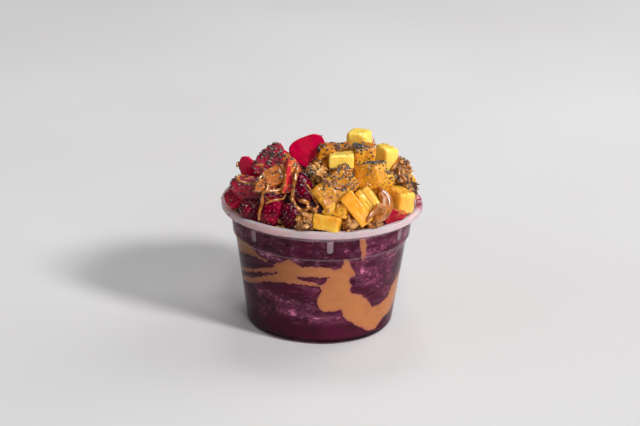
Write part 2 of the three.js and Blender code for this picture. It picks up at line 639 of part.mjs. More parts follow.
// Drizzle and chia seeds on the fruit, clear of every other piece
function dressFruit(fruit, core, keepOut) {
  const meshes = fruit.map((piece) => meshOf(piece.bare, piece.name, piece.colour));
  const pieceOf = (mesh) => fruit[meshes.indexOf(mesh)];
  const othersOf = (piece) => fruit.filter((other) => other !== piece).map((other) => other.cutter);
  const coreCutter = grown(core, GAP);
  for (const { radius, path } of STRANDS) {
    for (const { mesh, points } of strandRuns(path, meshes)) {
      const piece = pieceOf(mesh);
      const strand = cutBy(makeStrand(points, radius), [keepOut, coreCutter, ...othersOf(piece)]);
      if (strand.volume() > 0) piece.extras.push(strand);
    }
  }
  const random = randomStream(SEED_STREAM);
  const seed = new THREE.OctahedronGeometry(1).scale(...SEED_HALF_SIZE);
  const seedCutter = new THREE.OctahedronGeometry(1).scale(...SEED_HALF_SIZE.map((half) => half + 2 * GAP));
  for (const direction of spreadDirections(SEED_TRIES, SEED_LOWEST)) {
    const spin = random() * Math.PI;
    const hit = firstHit(direction, meshes);
    if (!hit) continue;
    const piece = pieceOf(hit.object);
    const strands = fruit.filter((other) => other !== piece).flatMap((other) => other.extras);
    const clear = laidOn(seedCutter, hit, spin);
    if (meetsAny(clear, [keepOut, coreCutter, ...othersOf(piece), ...strands])) continue;
    piece.extras.push(laidOn(seed, hit, spin));
  }
  for (const piece of fruit) piece.solid = mainBody(Manifold.union([piece.bare, ...piece.extras]));
}

// Granola: the core cut back from the fruit, with lumps and oat flakes where it shows
function makeGranola(core, fruit, keepOut) {
  const cutters = [keepOut, ...fruit.map((piece) => piece.pocket)];
  const extras = fruit.flatMap((piece) => piece.extras).map((extra) => grown(extra, GAP));
  const random = randomStream(GRANOLA_STREAM);
  const lumps = GRANOLA_LUMPS.map(({ at, radius }) => makeLump(radius, random).translate(at));
  const heap = cutBy(Manifold.union([core, ...lumps]), [...cutters, ...extras]);
  const body = mainBody(heap, SMALLEST_GRANOLA_DETAIL);
  const bodyMesh = meshOf(body, "granola", COLOURS.granola);
  const meshes = [bodyMesh, ...fruit.map((piece) => meshOf(piece.solid, piece.name, piece.colour))];
  const flake = new THREE.IcosahedronGeometry(1).scale(...FLAKE_HALF_SIZE);
  const flakeCutter = new THREE.IcosahedronGeometry(1).scale(...FLAKE_HALF_SIZE.map((half) => half + GAP));
  const flakes = [];
  for (const direction of spreadDirections(FLAKE_TRIES, FLAKE_LOWEST)) {
    const spin = random() * Math.PI;
    const hit = firstHit(direction, meshes);
    if (hit?.object !== bodyMesh) continue;
    if (meetsAny(laidOn(flakeCutter, hit, spin), [...cutters, ...extras])) continue;
    flakes.push(laidOn(flake, hit, spin));
  }
  return mainBody(Manifold.union([body, ...flakes]));
}

function makeBowl() {
  const bowl = new THREE.Group();
  bowl.name = "pitaya_bowl";
  bowl.add(meshOf(makeTub(), "tub", COLOURS.tub));

  const ring = wallRing(GAP, SMEAR_DEPTH, SMEAR_FOOT_Z, SMEAR_TOP_Z);
  const ringCutter = wallRing(-GAP, SMEAR_DEPTH + 3 * GAP, SMEAR_FOOT_Z, SMEAR_TOP_Z + 2 * GAP);
  let filling = makeFilling();
  for (const { name, outline, hole } of SMEARS) {
    const smear = mainBody(ring.intersect(wallBlock(outline, hole, 0)), SMALLEST_HIDDEN_DETAIL);
    bowl.add(meshOf(smear, name, COLOURS.peanut_butter));
    filling = filling.subtract(ringCutter.intersect(wallBlock(outline, hole, GAP)));
  }
  bowl.add(meshOf(mainBody(filling, SMALLEST_HIDDEN_DETAIL), "pitaya_filling", COLOURS.filling));

  const keepOut = makeKeepOut();
  const core = makeCore();
  const fruit = makeFruit(keepOut);
  dressFruit(fruit, core, keepOut);
  bowl.add(meshOf(makeGranola(core, fruit, keepOut), "granola", COLOURS.granola));
  for (const piece of fruit) bowl.add(meshOf(piece.solid, piece.name, piece.colour));
  return bowl;
}

export default makeBowl();
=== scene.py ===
"""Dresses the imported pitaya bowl: clear tub, blended pitaya, peanut butter, fruit, granola and studio."""

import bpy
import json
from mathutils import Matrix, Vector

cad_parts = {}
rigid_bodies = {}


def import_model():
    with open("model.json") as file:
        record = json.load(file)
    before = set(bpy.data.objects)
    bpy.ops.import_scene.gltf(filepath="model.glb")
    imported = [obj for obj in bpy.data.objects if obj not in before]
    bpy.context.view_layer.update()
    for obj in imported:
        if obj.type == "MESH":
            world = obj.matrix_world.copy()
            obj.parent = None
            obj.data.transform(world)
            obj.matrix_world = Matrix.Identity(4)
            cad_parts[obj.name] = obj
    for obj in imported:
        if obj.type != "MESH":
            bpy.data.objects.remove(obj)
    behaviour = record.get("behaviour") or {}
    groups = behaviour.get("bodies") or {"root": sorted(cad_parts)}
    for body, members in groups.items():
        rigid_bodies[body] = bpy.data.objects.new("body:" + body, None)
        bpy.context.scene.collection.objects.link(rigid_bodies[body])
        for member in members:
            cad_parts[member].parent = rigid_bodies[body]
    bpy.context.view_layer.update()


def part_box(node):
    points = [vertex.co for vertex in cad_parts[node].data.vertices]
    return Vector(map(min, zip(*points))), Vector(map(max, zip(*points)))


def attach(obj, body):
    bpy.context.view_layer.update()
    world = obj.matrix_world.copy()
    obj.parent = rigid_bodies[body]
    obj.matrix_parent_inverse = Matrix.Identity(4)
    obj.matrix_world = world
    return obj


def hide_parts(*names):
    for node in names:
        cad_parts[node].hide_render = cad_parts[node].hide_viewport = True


bl_info = {
    "name": "Pitaya bowl",
    "version": (1, 0, 0),
    "blender": (4, 5, 0),
    "location": "3D View > Sidebar > Pitaya bowl",
    "description": "Builds the looks of a pitaya bowl round its packed solids",
    "category": "Object",
}

import json
import math
from typing import NamedTuple

import bmesh
import bpy
import numpy as np
from bpy.props import FloatProperty, FloatVectorProperty, IntProperty, PointerProperty
from bpy.types import Operator, Panel, PropertyGroup
from mathutils import Matrix, Vector, noise
from mathutils.bvhtree import BVHTree

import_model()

# The tub, in metres. A pair is a radius and a height
RIM_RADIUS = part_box("tub")[1].x
TUB_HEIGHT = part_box("tub")[1].z
RIM_INNER_RADIUS = 0.0548
RIM_DEPTH = 0.0044
RIM_CORNER = 0.0013
BAND_TOP = (0.0532, 0.0698)
BAND_FOOT = (0.0517, 0.0565)
BODY_TOP = (0.0502, 0.055)
BODY_FOOT = (0.0433, 0.005)
FOOT_OUTER_RADIUS = 0.039
FOOT_INNER_RADIUS = 0.035
FOOT_RECESS = 0.001
FLOOR_HEIGHT = 0.0022
LUG_COUNT = 7
LUG_FIRST_ANGLE = 5.5
LUG_HALF_WIDTH = 0.00175
LUG_MIDDLE = 0.064
LUG_HALF_HEIGHT = 0.0035
LUG_PROUD = 0.0007
LUG_SOFTNESS = 0.0004

# Where the plastic is milky or hazy, and where the foot has painted light, in metres, and the order of the
# tub's plastics
MILK_FOOT = TUB_HEIGHT - RIM_DEPTH + RIM_CORNER * 0.8
MILK_INNER_RADIUS = RIM_INNER_RADIUS - 0.001
PAINTED_FOOT_TOP = FLOOR_HEIGHT * 0.95
LUG_HAZE = LUG_PROUD * 0.6
CLEAR, MILKY, HAZY, FAINT, PAINTED_FOOT = range(5)

# The tub's mesh: heights of its inner rows, counts of rows and columns, and degrees
INSIDE_ROWS = (BAND_TOP[1], 0.063, BAND_FOOT[1], BODY_TOP[1], 0.04, 0.02)
BAND_ROWS = 36
BODY_ROWS = 10
LUG_COLUMNS = 17
WALL_COLUMNS = 20
LUG_SPAN = 3
SHARP_ANGLE = 40

# Juice on the rim, in degrees round the tub
STAIN_ANGLE = 88
STAIN_REACH = 18

# The filling, in metres, with its mesh. A relief is the height of the bumps and their size
FILL_HEIGHT = 0.0685
FILL_RISE = 0.0035
FILL_EDGE = 0.0008
FILL_MIDDLE = 0.004
FILL_ROWS = 64
FILL_RINGS = 20
FILL_COLUMNS = 180
FILL_RELIEF = (0.0006, 0.006)

# The heap's middle, and how far out the search for its surface starts, in metres
HEAP_FOCUS = Vector((0, 0, 0.07))
CAST_DISTANCE = 0.09

# Mango: stray of the corners as a share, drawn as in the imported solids, relief, and scores across a cube
CORNER_WANDER = 0.14
WANDER_START = (7919, 12345)
WANDER_STEP = (1664525, 1013904223)
CUBE_STEPS = 20
CUBE_RELIEF = (0.00028, 0.0046)
CUBE_GRAIN = (0.00014, 0.0017)
GLAZE_RELIEF = 0.00045
SCORE_DEPTH = 0.0009
SCORE_SHARPNESS = 12
SCORE_FOOT = -0.6

# How much more sauce and bloom lies on what faces up
MANGO_GLAZE_UP = 0.22
BERRY_GLAZE_UP = 0.2
DUST_LEVEL = 0.6
DUST_UP = 0.4

# Half width of a strawberry against the way from its leaf end to its tip, both as shares
BERRY_PROFILE = ((0, 0), (0.62, 0.04), (0.96, 0.2), (0.97, 0.45), (0.76, 0.7), (0.42, 0.91), (0, 1))

# A strawberry's mesh and relief, its slices, and the depths between which cut flesh turns to skin
BERRY_STEPS = 8
BERRY_COLUMN = 6
BERRY_ROUNDS = 3
BERRY_RELIEF = (0.00022, 0.0036)
SLICE_THICKNESS = 0.007
FLESH_EDGE = (0.0008, 0.0003)
FLESH_CALM = 0.5
FAN_DROP = 0.3

# Achenes of a strawberry: how many on a whole one, half sizes, depth, way off a cut, and the pit round each
ACHENE_COUNT = 120
ACHENE_SIZE = (0.00026, 0.0004, 0.0002)
ACHENE_SINK = 0.0001
ACHENE_MARGIN = 0.0009
PIT_DEPTH = 0.0003
PIT_RADIUS = 0.0006

# The granola's core: a leaning dome, in metres, shares and degrees
CORE_RADIUS = 0.051
CORE_RISE = 0.025
CORE_LEAN = 0.36
CORE_FLATNESS = 2.6
CORE_FULLNESS = 0.7
CORE_RIM = 0.985
CORE_SINK = 0.001
CORE_RINGS = 34
CORE_LAST_RING = 2
CORE_COLUMN = 3
CORE_RELIEF = (0.0011, 0.0045)
CORE_GRAIN = (0.0006, 0.0019)
CORE_SMOOTH_FOOT = 0.002
# How far the core goes to the dark pitaya, part of the painted shade in the gaps
CORE_TONE = 0.7
CORE_GLAZE = 0.1

# Loose granola: spread of sizes, lean and tilt, how far it stands out, sinks in and keeps off the fruit as
# shares of a piece's size, how low it reaches on the heap, and its patches of glaze
GRANOLA_CHANCE = 11
LOOSE_SIZES = (0.75, 1.2)
LOOSE_LEAN = 0.35
LOOSE_TILT = 0.1
LOOSE_STAND = 0.3
FLAKE_SUNK = 0.3
CRUMB_SUNK = 0.9
FRUIT_GAP = 0.34
LOWEST_RISE = 0.02
LOOSE_GLAZE = (0.3, 0.011)
LOOSE_GLAZE_LEVEL = 0.34

# An oat flake with length 1: points in a ring, rings as shares of its outline, half thickness at its middle
# and rings, and ranges of its wobble, curl and cup
FLAKE_POINTS = 12
FLAKE_RINGS = (0.5, 0.86, 1.0)
FLAKE_THICKNESS = (0.075, 0.07, 0.045, 0)
FLAKE_HALF_WIDTH = 0.3
FLAKE_WOBBLE = (-0.25, 0.2)
FLAKE_CURL = (0.1, 0.5)
FLAKE_CUP = (-0.4, 0.4)
FLAKE_CREASE_DEPTH = 0.05
FLAKE_CREASE_WIDTH = 0.06

# A crumb: range of its stretch along each axis, and how rough it is
CRUMB_STRETCH = (0.7, 1.25)
CRUMB_ROUGH = 0.16

# A lump of granola takes one part in so many of the tries, at these shares of its radius
LUMP_PART = 12
LUMP_DEPTHS = (0.25, 0.95)

# Drizzle: steps between points, steps that it spans and eases over, lift, and swells with their pace
DRIZZLE_CHANCE = 5
DRIZZLE_ROUNDS = 4
POUR_STEPS = 20
STRAND_STEPS = 40
STRAND_SPAN = 14
STRAND_EASE = 4
STRAND_LIFT = 0.3
STRAND_SWELLS = ((0.16, 0.07), (0.1, 0.19))
STRAND_WAVE = 6
MISSED_REACH = 0.03

# Chia seeds: half sizes as shares of the length, ranges of spin, tone and size, and metres
SEED_CHANCE = 23
SEED_SHARES = (0.34, 0.5, 0.3)
SEED_RANGES = ((0, 6.3), (0, 1), (0.85, 1.12))
SEED_TILT = 0.3
SEED_LOWEST = TUB_HEIGHT - 0.002
SEED_LIFT = 0.0003
SEED_LIFT_SPREAD = 0.0004

# Seeds on the side of the rim, in degrees round and metres up
RIM_SEEDS = ((-90, 0.0735), (-64, 0.0728))
RIM_SEED_HINT = (0, 0.4, 1)
RIM_SEED_TONE = 0.3

# Ending of the names of the pieces of fruit
FRUIT = "_cut"

# Studio: floor and sky, then the key light with its direction in degrees round and up
FLOOR_REACH = 3.0
SKY_COLOUR = (1, 0.99, 0.985, 1)
SKY_STRENGTH = 0.06
KEY_DIRECTION = (54, 34)
KEY_SPREAD = 11
KEY_STRENGTH = 2.8

# The photograph's camera, in millimetres for the lens, degrees and metres
LENS = 96.4
SENSOR_WIDTH = 36
CAMERA_ELEVATION = 19.88
CAMERA_ROLL = 1.22
CAMERA_AIM = (-0.00095, 0, 0.06565)
CAMERA_DISTANCE = 1


class Lamp(NamedTuple):
    """A square soft box: direction in degrees round and up, distance and side in metres, and watts.

    One that doesn't light only shows in the gloss, and one that doesn't shine fills without a reflection.
    """

    name: str
    direction: tuple
    distance: float
    side: float
    watts: float
    lights: bool = True
    shines: bool = True


class Cube(NamedTuple):
    """A cube of mango: middle, size and turns, how orange, glazed and square it is, and its scores."""

    number: int
    at: tuple
    size: tuple
    turn: tuple
    orange: float
    glaze: float
    square: float = 14
    cuts: int = 0

    @property
    def node(self):
        return f"mango_{self.number:02}"


class Berry(NamedTuple):
    """A cut strawberry: cut, middle, length, width and turns, then how dark, dusty, pale and glazed it is."""

    number: int
    cut: str
    at: tuple
    length: float
    width: float
    turn: tuple
    dark: float
    dust: float
    pale: float
    glaze: float

    @property
    def node(self):
        return f"strawberry_{self.number:02}"


LAMPS = (
    Lamp("side_lamp", (125, 42), 1.3, 0.8, 6),
    Lamp("top_lamp", (180, 66), 1.5, 0.45, 4.2),
    Lamp("spark_lamp", (6, 58), 2.4, 0.34, 9),
    Lamp("glint_lamp", (30, 27), 1.3, 0.12, 0.8),
    Lamp("gloss_lamp", (14, 62), 2.4, 0.8, 29, lights=False),
    Lamp("front_lamp", (10, 13), 2.8, 1.2, 12, shines=False),
    Lamp("left_lamp", (-105, 30), 1.2, 0.8, 0.7, shines=False),
)

CUBES = (
    Cube(1, (0.021, 0.014, 0.1045), (0.013, 0.013, 0.015), (0, -4, -16), 0.05, 0.05, 6),
    Cube(2, (0.036, 0, 0.099), (0.011, 0.011, 0.017), (0, 4, -41), 0.08, 0.1, 6),
    Cube(3, (0.0105, -0.024, 0.104), (0.014, 0.013, 0.014), (-6, -4, 4), 0.05, 0.1),
    Cube(4, (0.008, -0.039, 0.095), (0.024, 0.012, 0.016), (-24, -38, 0), 0.7, 0.62, 8),
    Cube(5, (0.022, -0.016, 0.105), (0.013, 0.013, 0.015), (0, 5, 20), 0.6, 0.65, 7),
    Cube(6, (0.027, -0.031, 0.0995), (0.015, 0.013, 0.014), (-10, -10, -25), 0.65, 0.55, 7),
    Cube(7, (0.032, -0.025, 0.094), (0.012, 0.012, 0.013), (0, 12, -40), 0.6, 0.45, 8),
    Cube(8, (0.0185, -0.045, 0.085), (0.008, 0.014, 0.019), (-12, -38, 8), 0.85, 0.14),
    Cube(9, (0.027, -0.04, 0.088), (0.01, 0.015, 0.018), (-12, -36, -6), 0.35, 0.25, 12, 2),
    Cube(10, (0.044, -0.026, 0.0843), (0.015, 0.014, 0.0125), (0, 8, -50), 0.55, 0.2, 7),
    Cube(11, (0.004, -0.0485, 0.078), (0.016, 0.012, 0.009), (-10, 6, -18), 0.55, 0.08),
    Cube(12, (0.0084, -0.046, 0.0843), (0.015, 0.0095, 0.008), (-24, 14, -15), 0.6, 0.35, 12, 2),
    Cube(13, (0, -0.017, 0.1065), (0.009, 0.01, 0.013), (0, 20, 10), 0.8, 0.85),
    Cube(14, (0.013, -0.004, 0.1035), (0.011, 0.012, 0.011), (0, 0, 12), 0.7, 0.8),
    Cube(15, (0.04, 0.022, 0.086), (0.015, 0.014, 0.014), (10, 20, 30), 0.4, 0.3),
    Cube(16, (0.026, 0.033, 0.087), (0.014, 0.015, 0.014), (25, 0, -30), 0.2, 0.15),
    Cube(17, (0.043, 0.033, 0.079), (0.014, 0.013, 0.013), (15, 20, 40), 0.5, 0.2),
    Cube(18, (0.009, 0.037, 0.087), (0.015, 0.012, 0.014), (30, 8, 10), 0.3, 0.35),
    Cube(19, (0.014, 0.048, 0.0805), (0.016, 0.012, 0.012), (20, -8, 15), 0.2, 0.1),
    Cube(20, (0.03, 0.045, 0.0805), (0.014, 0.012, 0.013), (10, 14, -35), 0.55, 0.2),
    Cube(21, (0.004, 0.016, 0.095), (0.014, 0.014, 0.011), (8, -6, 35), 0.6, 0.6),
    Cube(22, (0.047, 0.008, 0.081), (0.012, 0.015, 0.013), (0, 18, 10), 0.5, 0.3),
)

# Strawberries 11 and 13 lie low in the heap; their high dark values paint shade on their skin
BERRIES = (
    Berry(1, "half", (-0.0078, -0.012, 0.1067), 0.019, 0.021, (-15, 157, 0), 0.12, 0, 0.15, 0),
    Berry(2, "half", (-0.04, -0.014, 0.0965), 0.019, 0.014, (-10, -28, -30), 0, 0, 0.1, 0),
    Berry(3, "half", (-0.029, -0.016, 0.103), 0.023, 0.015, (-10, 30, -10), 0.4, 0.9, 0.2, 0.25),
    Berry(4, "quarter", (-0.017, -0.031, 0.099), 0.021, 0.022, (-20, 8, 20), 0.12, 0, 0.3, 0.33),
    Berry(5, "half", (-0.011, -0.041, 0.095), 0.02, 0.013, (-16, -8, 180), 0.8, 0, 0.2, 0.15),
    Berry(6, "half", (-0.027, -0.043, 0.0805), 0.018, 0.016, (14, 18, 180), 0.64, 0, 0.2, 0),
    Berry(7, "half", (-0.0165, -0.047, 0.08), 0.016, 0.014, (6, -30, 180), 0.85, 0.05, 0.2, 0.05),
    Berry(8, "quarter", (-0.028, -0.03, 0.096), 0.024, 0.022, (-28, -112, 10), 0.4, 0.1, 0.3, 0.95),
    Berry(9, "half", (-0.046, -0.021, 0.082), 0.018, 0.015, (-6, 58, -60), 0.35, 0.35, 0.2, 0.05),
    Berry(10, "slice", (-0.043, -0.026, 0.089), 0.02, 0.016, (-36, -70, -35), 0.55, 0.8, 0.3, 0.2),
    Berry(11, "half", (-0.039, -0.035, 0.08), 0.016, 0.014, (10, 70, 140), 0.8, 0.2, 0.2, 0.1),
    Berry(12, "half", (0.0406, -0.0346, 0.0784), 0.015, 0.0105, (-20, 75, 40), 0.35, 0, 0.25, 0.4),
    Berry(13, "half", (-0.027, -0.038, 0.089), 0.017, 0.014, (-20, 80, 180), 0.85, 0.1, 0.2, 0.2),
    Berry(14, "half", (-0.041, 0.007, 0.088), 0.019, 0.016, (20, -30, 120), 0.15, 0.15, 0.35, 0.15),
    Berry(15, "half", (-0.044, 0.024, 0.081), 0.018, 0.015, (30, -50, 140), 0.35, 0.2, 0.3, 0.1),
    Berry(16, "quarter", (-0.024, 0.01, 0.093), 0.021, 0.02, (20, 40, 150), 0.2, 0.1, 0.5, 0.3),
    Berry(17, "half", (-0.026, 0.031, 0.086), 0.02, 0.017, (35, -20, 180), 0.1, 0.1, 0.4, 0.1),
    Berry(18, "half", (-0.03, 0.043, 0.08), 0.016, 0.014, (25, 60, 170), 0.3, 0.1, 0.3, 0.1),
    Berry(19, "slice", (-0.009, 0.038, 0.086), 0.019, 0.016, (45, 15, 180), 0.05, 0.05, 0.6, 0.1),
    Berry(20, "half", (-0.01, 0.019, 0.092), 0.019, 0.015, (60, 20, 160), 0.2, 0.1, 0.4, 0.2),
    Berry(21, "half", (-0.008, 0.049, 0.08), 0.017, 0.014, (20, 100, 0), 0.4, 0.1, 0.3, 0.1),
)

# Peanut butter on the wall: degrees round from the front, metres up
FRONT_SMEAR = (
    (-61, 0.0574), (-54, 0.057), (-50, 0.0535), (-36, 0.0497), (-30, 0.05), (-21, 0.0545), (-17, 0.052),
    (-12, 0.051), (5, 0.0508), (11, 0.0495), (14.5, 0.0515), (15.5, 0.0565), (19, 0.054), (21, 0.05),
    (24, 0.0455), (20, 0.042), (22, 0.0385), (22.5, 0.034), (31, 0.0305), (36, 0.027), (40, 0.023),
    (47, 0.021), (55, 0.022), (60, 0.024), (64, 0.0295), (76, 0.0345), (88, 0.041), (100, 0.049),
    (112, 0.054), (121, 0.0525), (121, 0.0475), (100, 0.036), (90, 0.026), (78, 0.017), (67, 0.0115),
    (57, 0.01), (49, 0.0056), (42, 0.0058), (29, 0.0115), (19, 0.0175), (15, 0.023), (7, 0.022),
    (1, 0.0235), (-2, 0.029), (1, 0.037), (-4, 0.039), (-21, 0.0388), (-38, 0.037), (-58, 0.031),
    (-72, 0.028), (-80, 0.0287), (-51, 0.0364), (-30, 0.0442), (-51, 0.0398), (-80, 0.0326), (-86, 0.0335),
    (-75, 0.036), (-46, 0.0435), (-33, 0.048), (-46, 0.0497), (-57, 0.0492), (-84, 0.045), (-98, 0.0475),
    (-92, 0.055), (-75, 0.057),
)
FRONT_SMEAR_HOLE = (
    (-11, 0.042), (-4, 0.0408), (1, 0.0399), (4.5, 0.043), (5, 0.0446), (-9, 0.0442), (-17, 0.0435),
)
FRONT_DRIP = ((24.5, 0.067), (28.5, 0.067), (29.8, 0.055), (28.8, 0.0535), (27.4, 0.0545))
BACK_SMEAR = (
    (136, 0.026), (146, 0.033), (156, 0.042), (168, 0.051), (182, 0.054), (196, 0.052), (208, 0.046),
    (218, 0.046), (230, 0.051), (236, 0.049), (234, 0.043), (224, 0.037), (212, 0.033), (200, 0.038),
    (188, 0.043), (178, 0.04), (170, 0.03), (160, 0.02), (148, 0.012), (138, 0.015),
)
BACK_DRIP = ((172, 0.067), (176, 0.067), (177, 0.061), (175, 0.0585), (173, 0.061))
SMEARS = (
    ("peanut_butter_front", FRONT_SMEAR, FRONT_SMEAR_HOLE),
    ("peanut_butter_front_drip", FRONT_DRIP, None),
    ("peanut_butter_back", BACK_SMEAR, None),
    ("peanut_butter_back_drip", BACK_DRIP, None),
)

# A smear's sheet: steps of its outline, cells, way past its edge, and how it dives there, in metres
SMEAR_STEPS = 6
SMEAR_CELL = 0.0008
SMEAR_MARGIN = 0.0022
SMEAR_EDGE = 0.001
SMEAR_DIVE = 0.0008
SMEAR_DIVE_RANGE = (-0.0012, -0.0021)

# Frosty patches in the blended pitaya: degrees round, metres up, half spans in degrees and metres, strength
FROST_PATCHES = (
    (-38, 0.0545, 13, 0.003, 1.5), (-16, 0.0545, 3, 0.0016, 1.8), (-45, 0.029, 12, 0.005, 0.7),
    (-22, 0.025, 10, 0.005, 0.8), (-20, 0.0195, 11, 0.002, 1.2), (5, 0.0175, 10, 0.002, 1.2),
    (-51, 0.013, 4, 0.003, 0.8), (27, 0.047, 6, 0.006, 0.9), (33, 0.0565, 10, 0.003, 0.9),
    (46, 0.045, 8, 0.006, 0.5), (36, 0.038, 7, 0.004, 0.4), (56, 0.0375, 5, 0.006, 0.5),
    (50, 0.0535, 8, 0.003, 0.6), (66, 0.061, 10, 0.005, 0.6), (-70, 0.06, 12, 0.005, 0.9),
    (-7, 0.0377, 9, 0.003, 0.6), (62, 0.0505, 8, 0.005, 0.5), (-72, 0.02, 10, 0.006, 0.6),
    (100, 0.02, 16, 0.006, 0.9), (128, 0.04, 12, 0.008, 0.9), (150, 0.056, 16, 0.004, 0.9),
    (190, 0.025, 18, 0.006, 1.0), (215, 0.016, 14, 0.004, 0.9), (245, 0.03, 14, 0.008, 0.9),
    (262, 0.055, 16, 0.004, 0.9), (275, 0.018, 12, 0.005, 0.8), (-50, 0.062, 26, 0.004, 0.4),
    (48, 0.062, 26, 0.004, 0.4), (120, 0.063, 40, 0.004, 0.4), (220, 0.063, 50, 0.004, 0.4),
)

# Heights, in metres, between which the pitaya gets bare of frost towards the foot
BARE_FOOT = (0.015, 0.009)
BARE_FOOT_STRENGTH = -1.2

# Drizzle: radius in metres, then directions out of the heap in degrees round from the front and up
STRANDS = (
    (0.0011, ((-40, 29), (-38, 25), (-39, 22), (-39, 18), (-39, 13), (-39, 7))),
    (0.0008, ((-31, 27), (-28, 25), (-29, 21), (-33, 19), (-36, 17))),
    (0.0009, ((-45, 22), (-37, 24), (-33, 26), (-29, 30), (-29, 36))),
    (0.0008, ((-45, 29), (-45, 37), (-42, 43), (-34, 45))),
    (0.0013, ((-22, 42), (-21, 34), (-21, 26), (-21, 22), (-17, 18), (-13, 15.5), (-9.5, 18), (-11, 21.5),
              (-15, 22))),
    (0.0008, ((-11, 32), (-9, 30), (-7, 26), (-4, 22), (-3, 19), (-6, 17))),
    (0.0008, ((-74, 22), (-65, 28), (-60, 24), (-53, 25), (-47, 27))),
    (0.0008, ((8, 47), (14, 42), (22, 40), (30, 44))),
    (0.0009, ((-2, 38), (6, 33), (12, 30), (20, 32))),
    (0.0010, ((94, 36), (85, 33), (70, 31), (68, 26), (69, 21))),
    (0.0013, ((-120, 30), (-135, 44), (-155, 54), (-170, 44), (-176, 28))),
    (0.0013, ((110, 26), (128, 42), (150, 52), (160, 36), (152, 20))),
    (0.0012, ((-150, 20), (-160, 32), (-175, 40), (170, 50))),
    (0.0011, ((180, 46), (200, 44), (222, 36), (236, 24), (246, 16))),
    (0.0011, ((118, 44), (130, 48), (140, 40), (134, 26), (124, 16))),
)

# The thick pour at the right, in places and radii along each fold
POUR = (
    ((0.0318, -0.0335, 0.0935, 0.001), (0.0338, -0.035, 0.092, 0.0015), (0.0365, -0.0365, 0.0894, 0.002),
     (0.0377, -0.039, 0.0862, 0.0023), (0.0367, -0.0425, 0.083, 0.0023), (0.0338, -0.0465, 0.0806, 0.002),
     (0.031, -0.0495, 0.08, 0.0014)),
    ((0.0346, -0.0468, 0.0864, 0.0018), (0.0313, -0.0487, 0.088, 0.0016), (0.0286, -0.0497, 0.0852, 0.0017),
     (0.0262, -0.0523, 0.0826, 0.0013), (0.0253, -0.0533, 0.0808, 0.0009)),
    ((0.0325, -0.0365, 0.091, 0.0014), (0.034, -0.04, 0.0878, 0.002), (0.034, -0.0455, 0.0852, 0.0024),
     (0.0335, -0.0472, 0.0836, 0.0024), (0.0325, -0.0482, 0.0815, 0.0022)),
    ((0.034, -0.034, 0.088, 0.003), (0.035, -0.036, 0.0845, 0.0036), (0.0345, -0.04, 0.081, 0.0034)),
    ((0.0305, -0.047, 0.0855, 0.002), (0.0305, -0.048, 0.0825, 0.002), (0.03, -0.0495, 0.08, 0.0016)),
)

# Chia seeds: middle of a patch in degrees round and up, its spread in degrees, and how many are tried
SEED_PATCHES = (
    (-60, 48, 4, 70), (-54, 52, 3, 44), (-61, 41, 5, 36), (-66, 28, 3, 30), (-42, 33, 5, 22),
    (-48, 27, 3, 18), (-22, 48, 2.5, 44), (-12, 40, 3, 22), (-9, 41, 2, 12), (0, 64, 3, 24), (-3, 59, 5, 20),
    (60, 72, 4, 26), (48, 57, 2.5, 90), (42, 50, 3, 14), (46, 43, 2.4, 80), (38, 37, 3, 10),
    (14, 42, 2.5, 36), (4, 34, 3, 14), (10, 34, 5, 22), (22, 37, 2, 14), (19, 28, 3, 14), (24, 27, 2, 10),
    (5, 15, 3, 6), (55, 33, 2.5, 26), (66, 24, 3, 40), (72, 17, 4, 30), (-59, 22, 6, 30), (-20, 24, 8, 20),
    (-75, 18, 6, 20), (150, 55, 22, 90), (-150, 55, 22, 90), (120, 35, 20, 60), (-120, 35, 20, 60),
    (180, 28, 26, 60), (60, 40, 20, 20),
)

# Fruit that stays nearly clean of seeds, and the share of seeds that it keeps
BARE_FRUIT = (
    "mango_01", "mango_02", "mango_03", "mango_08", "mango_09", "mango_10", "mango_11",
    "strawberry_01", "strawberry_02", "strawberry_06", "strawberry_12",
)
BARE_SHARE = 0.05

# Lumps of granola that show between the fruit: middle, radius and how toasted it is
GRANOLA_LUMPS = (
    ((-0.009, -0.051, 0.0775), 0.005, 0.9),
    ((-0.003, -0.033, 0.1), 0.0065, 0.3),
    ((0.016, -0.05, 0.0775), 0.005, 0.95),
    ((0.028, -0.045, 0.078), 0.005, 0.95),
    ((0.0435, -0.013, 0.0925), 0.0055, 0.8),
    ((0.048, -0.013, 0.085), 0.006, 0.9),
    ((0.0455, 0.002, 0.093), 0.006, 0.9),
    ((0.021, 0.022, 0.091), 0.006, 1),
    ((-0.047, -0.004, 0.082), 0.0055, 1),
)


def paint(red, green, blue):
    """A display colour, 0 to 255, as the linear values that shaders use."""
    shares = (value / 255 for value in (red, green, blue))
    return tuple(s / 12.92 if s <= 0.04045 else ((s + 0.055) / 1.055) ** 2.4 for s in shares)


def colour(name, description, *display):
    """A colour setting, from a display colour."""
    return FloatVectorProperty(
        name=name, description=description, default=paint(*display), subtype="COLOR", size=3, min=0, max=1
    )


def length(name, description, default):
    """A length setting in metres."""
    return FloatProperty(name=name, description=description, default=default, unit="LENGTH", precision=5)


def tally(name, description, default):
    """A setting for how many."""
    return IntProperty(name=name, description=description, default=default, min=0)


# Second tones inside the finishes
PITAYA_WASH = paint(66, 9, 35)
PLASTIC_CLOUD = paint(236, 226, 236)
LAMP_THROUGH_PLASTIC = (0.93, 0.9, 0.92)
BUTTER_SWIRL = paint(138, 92, 52)
BUTTER_GRAIN = paint(140, 88, 52)
BUTTER_EDGE = paint(148, 95, 68)
MANGO_FIBRE = paint(255, 226, 140)
ACHENE_RED = paint(150, 50, 46)
DRIZZLE_GRAIN = paint(226, 170, 104)
FLOOR_CLOUD = paint(222, 222, 224)


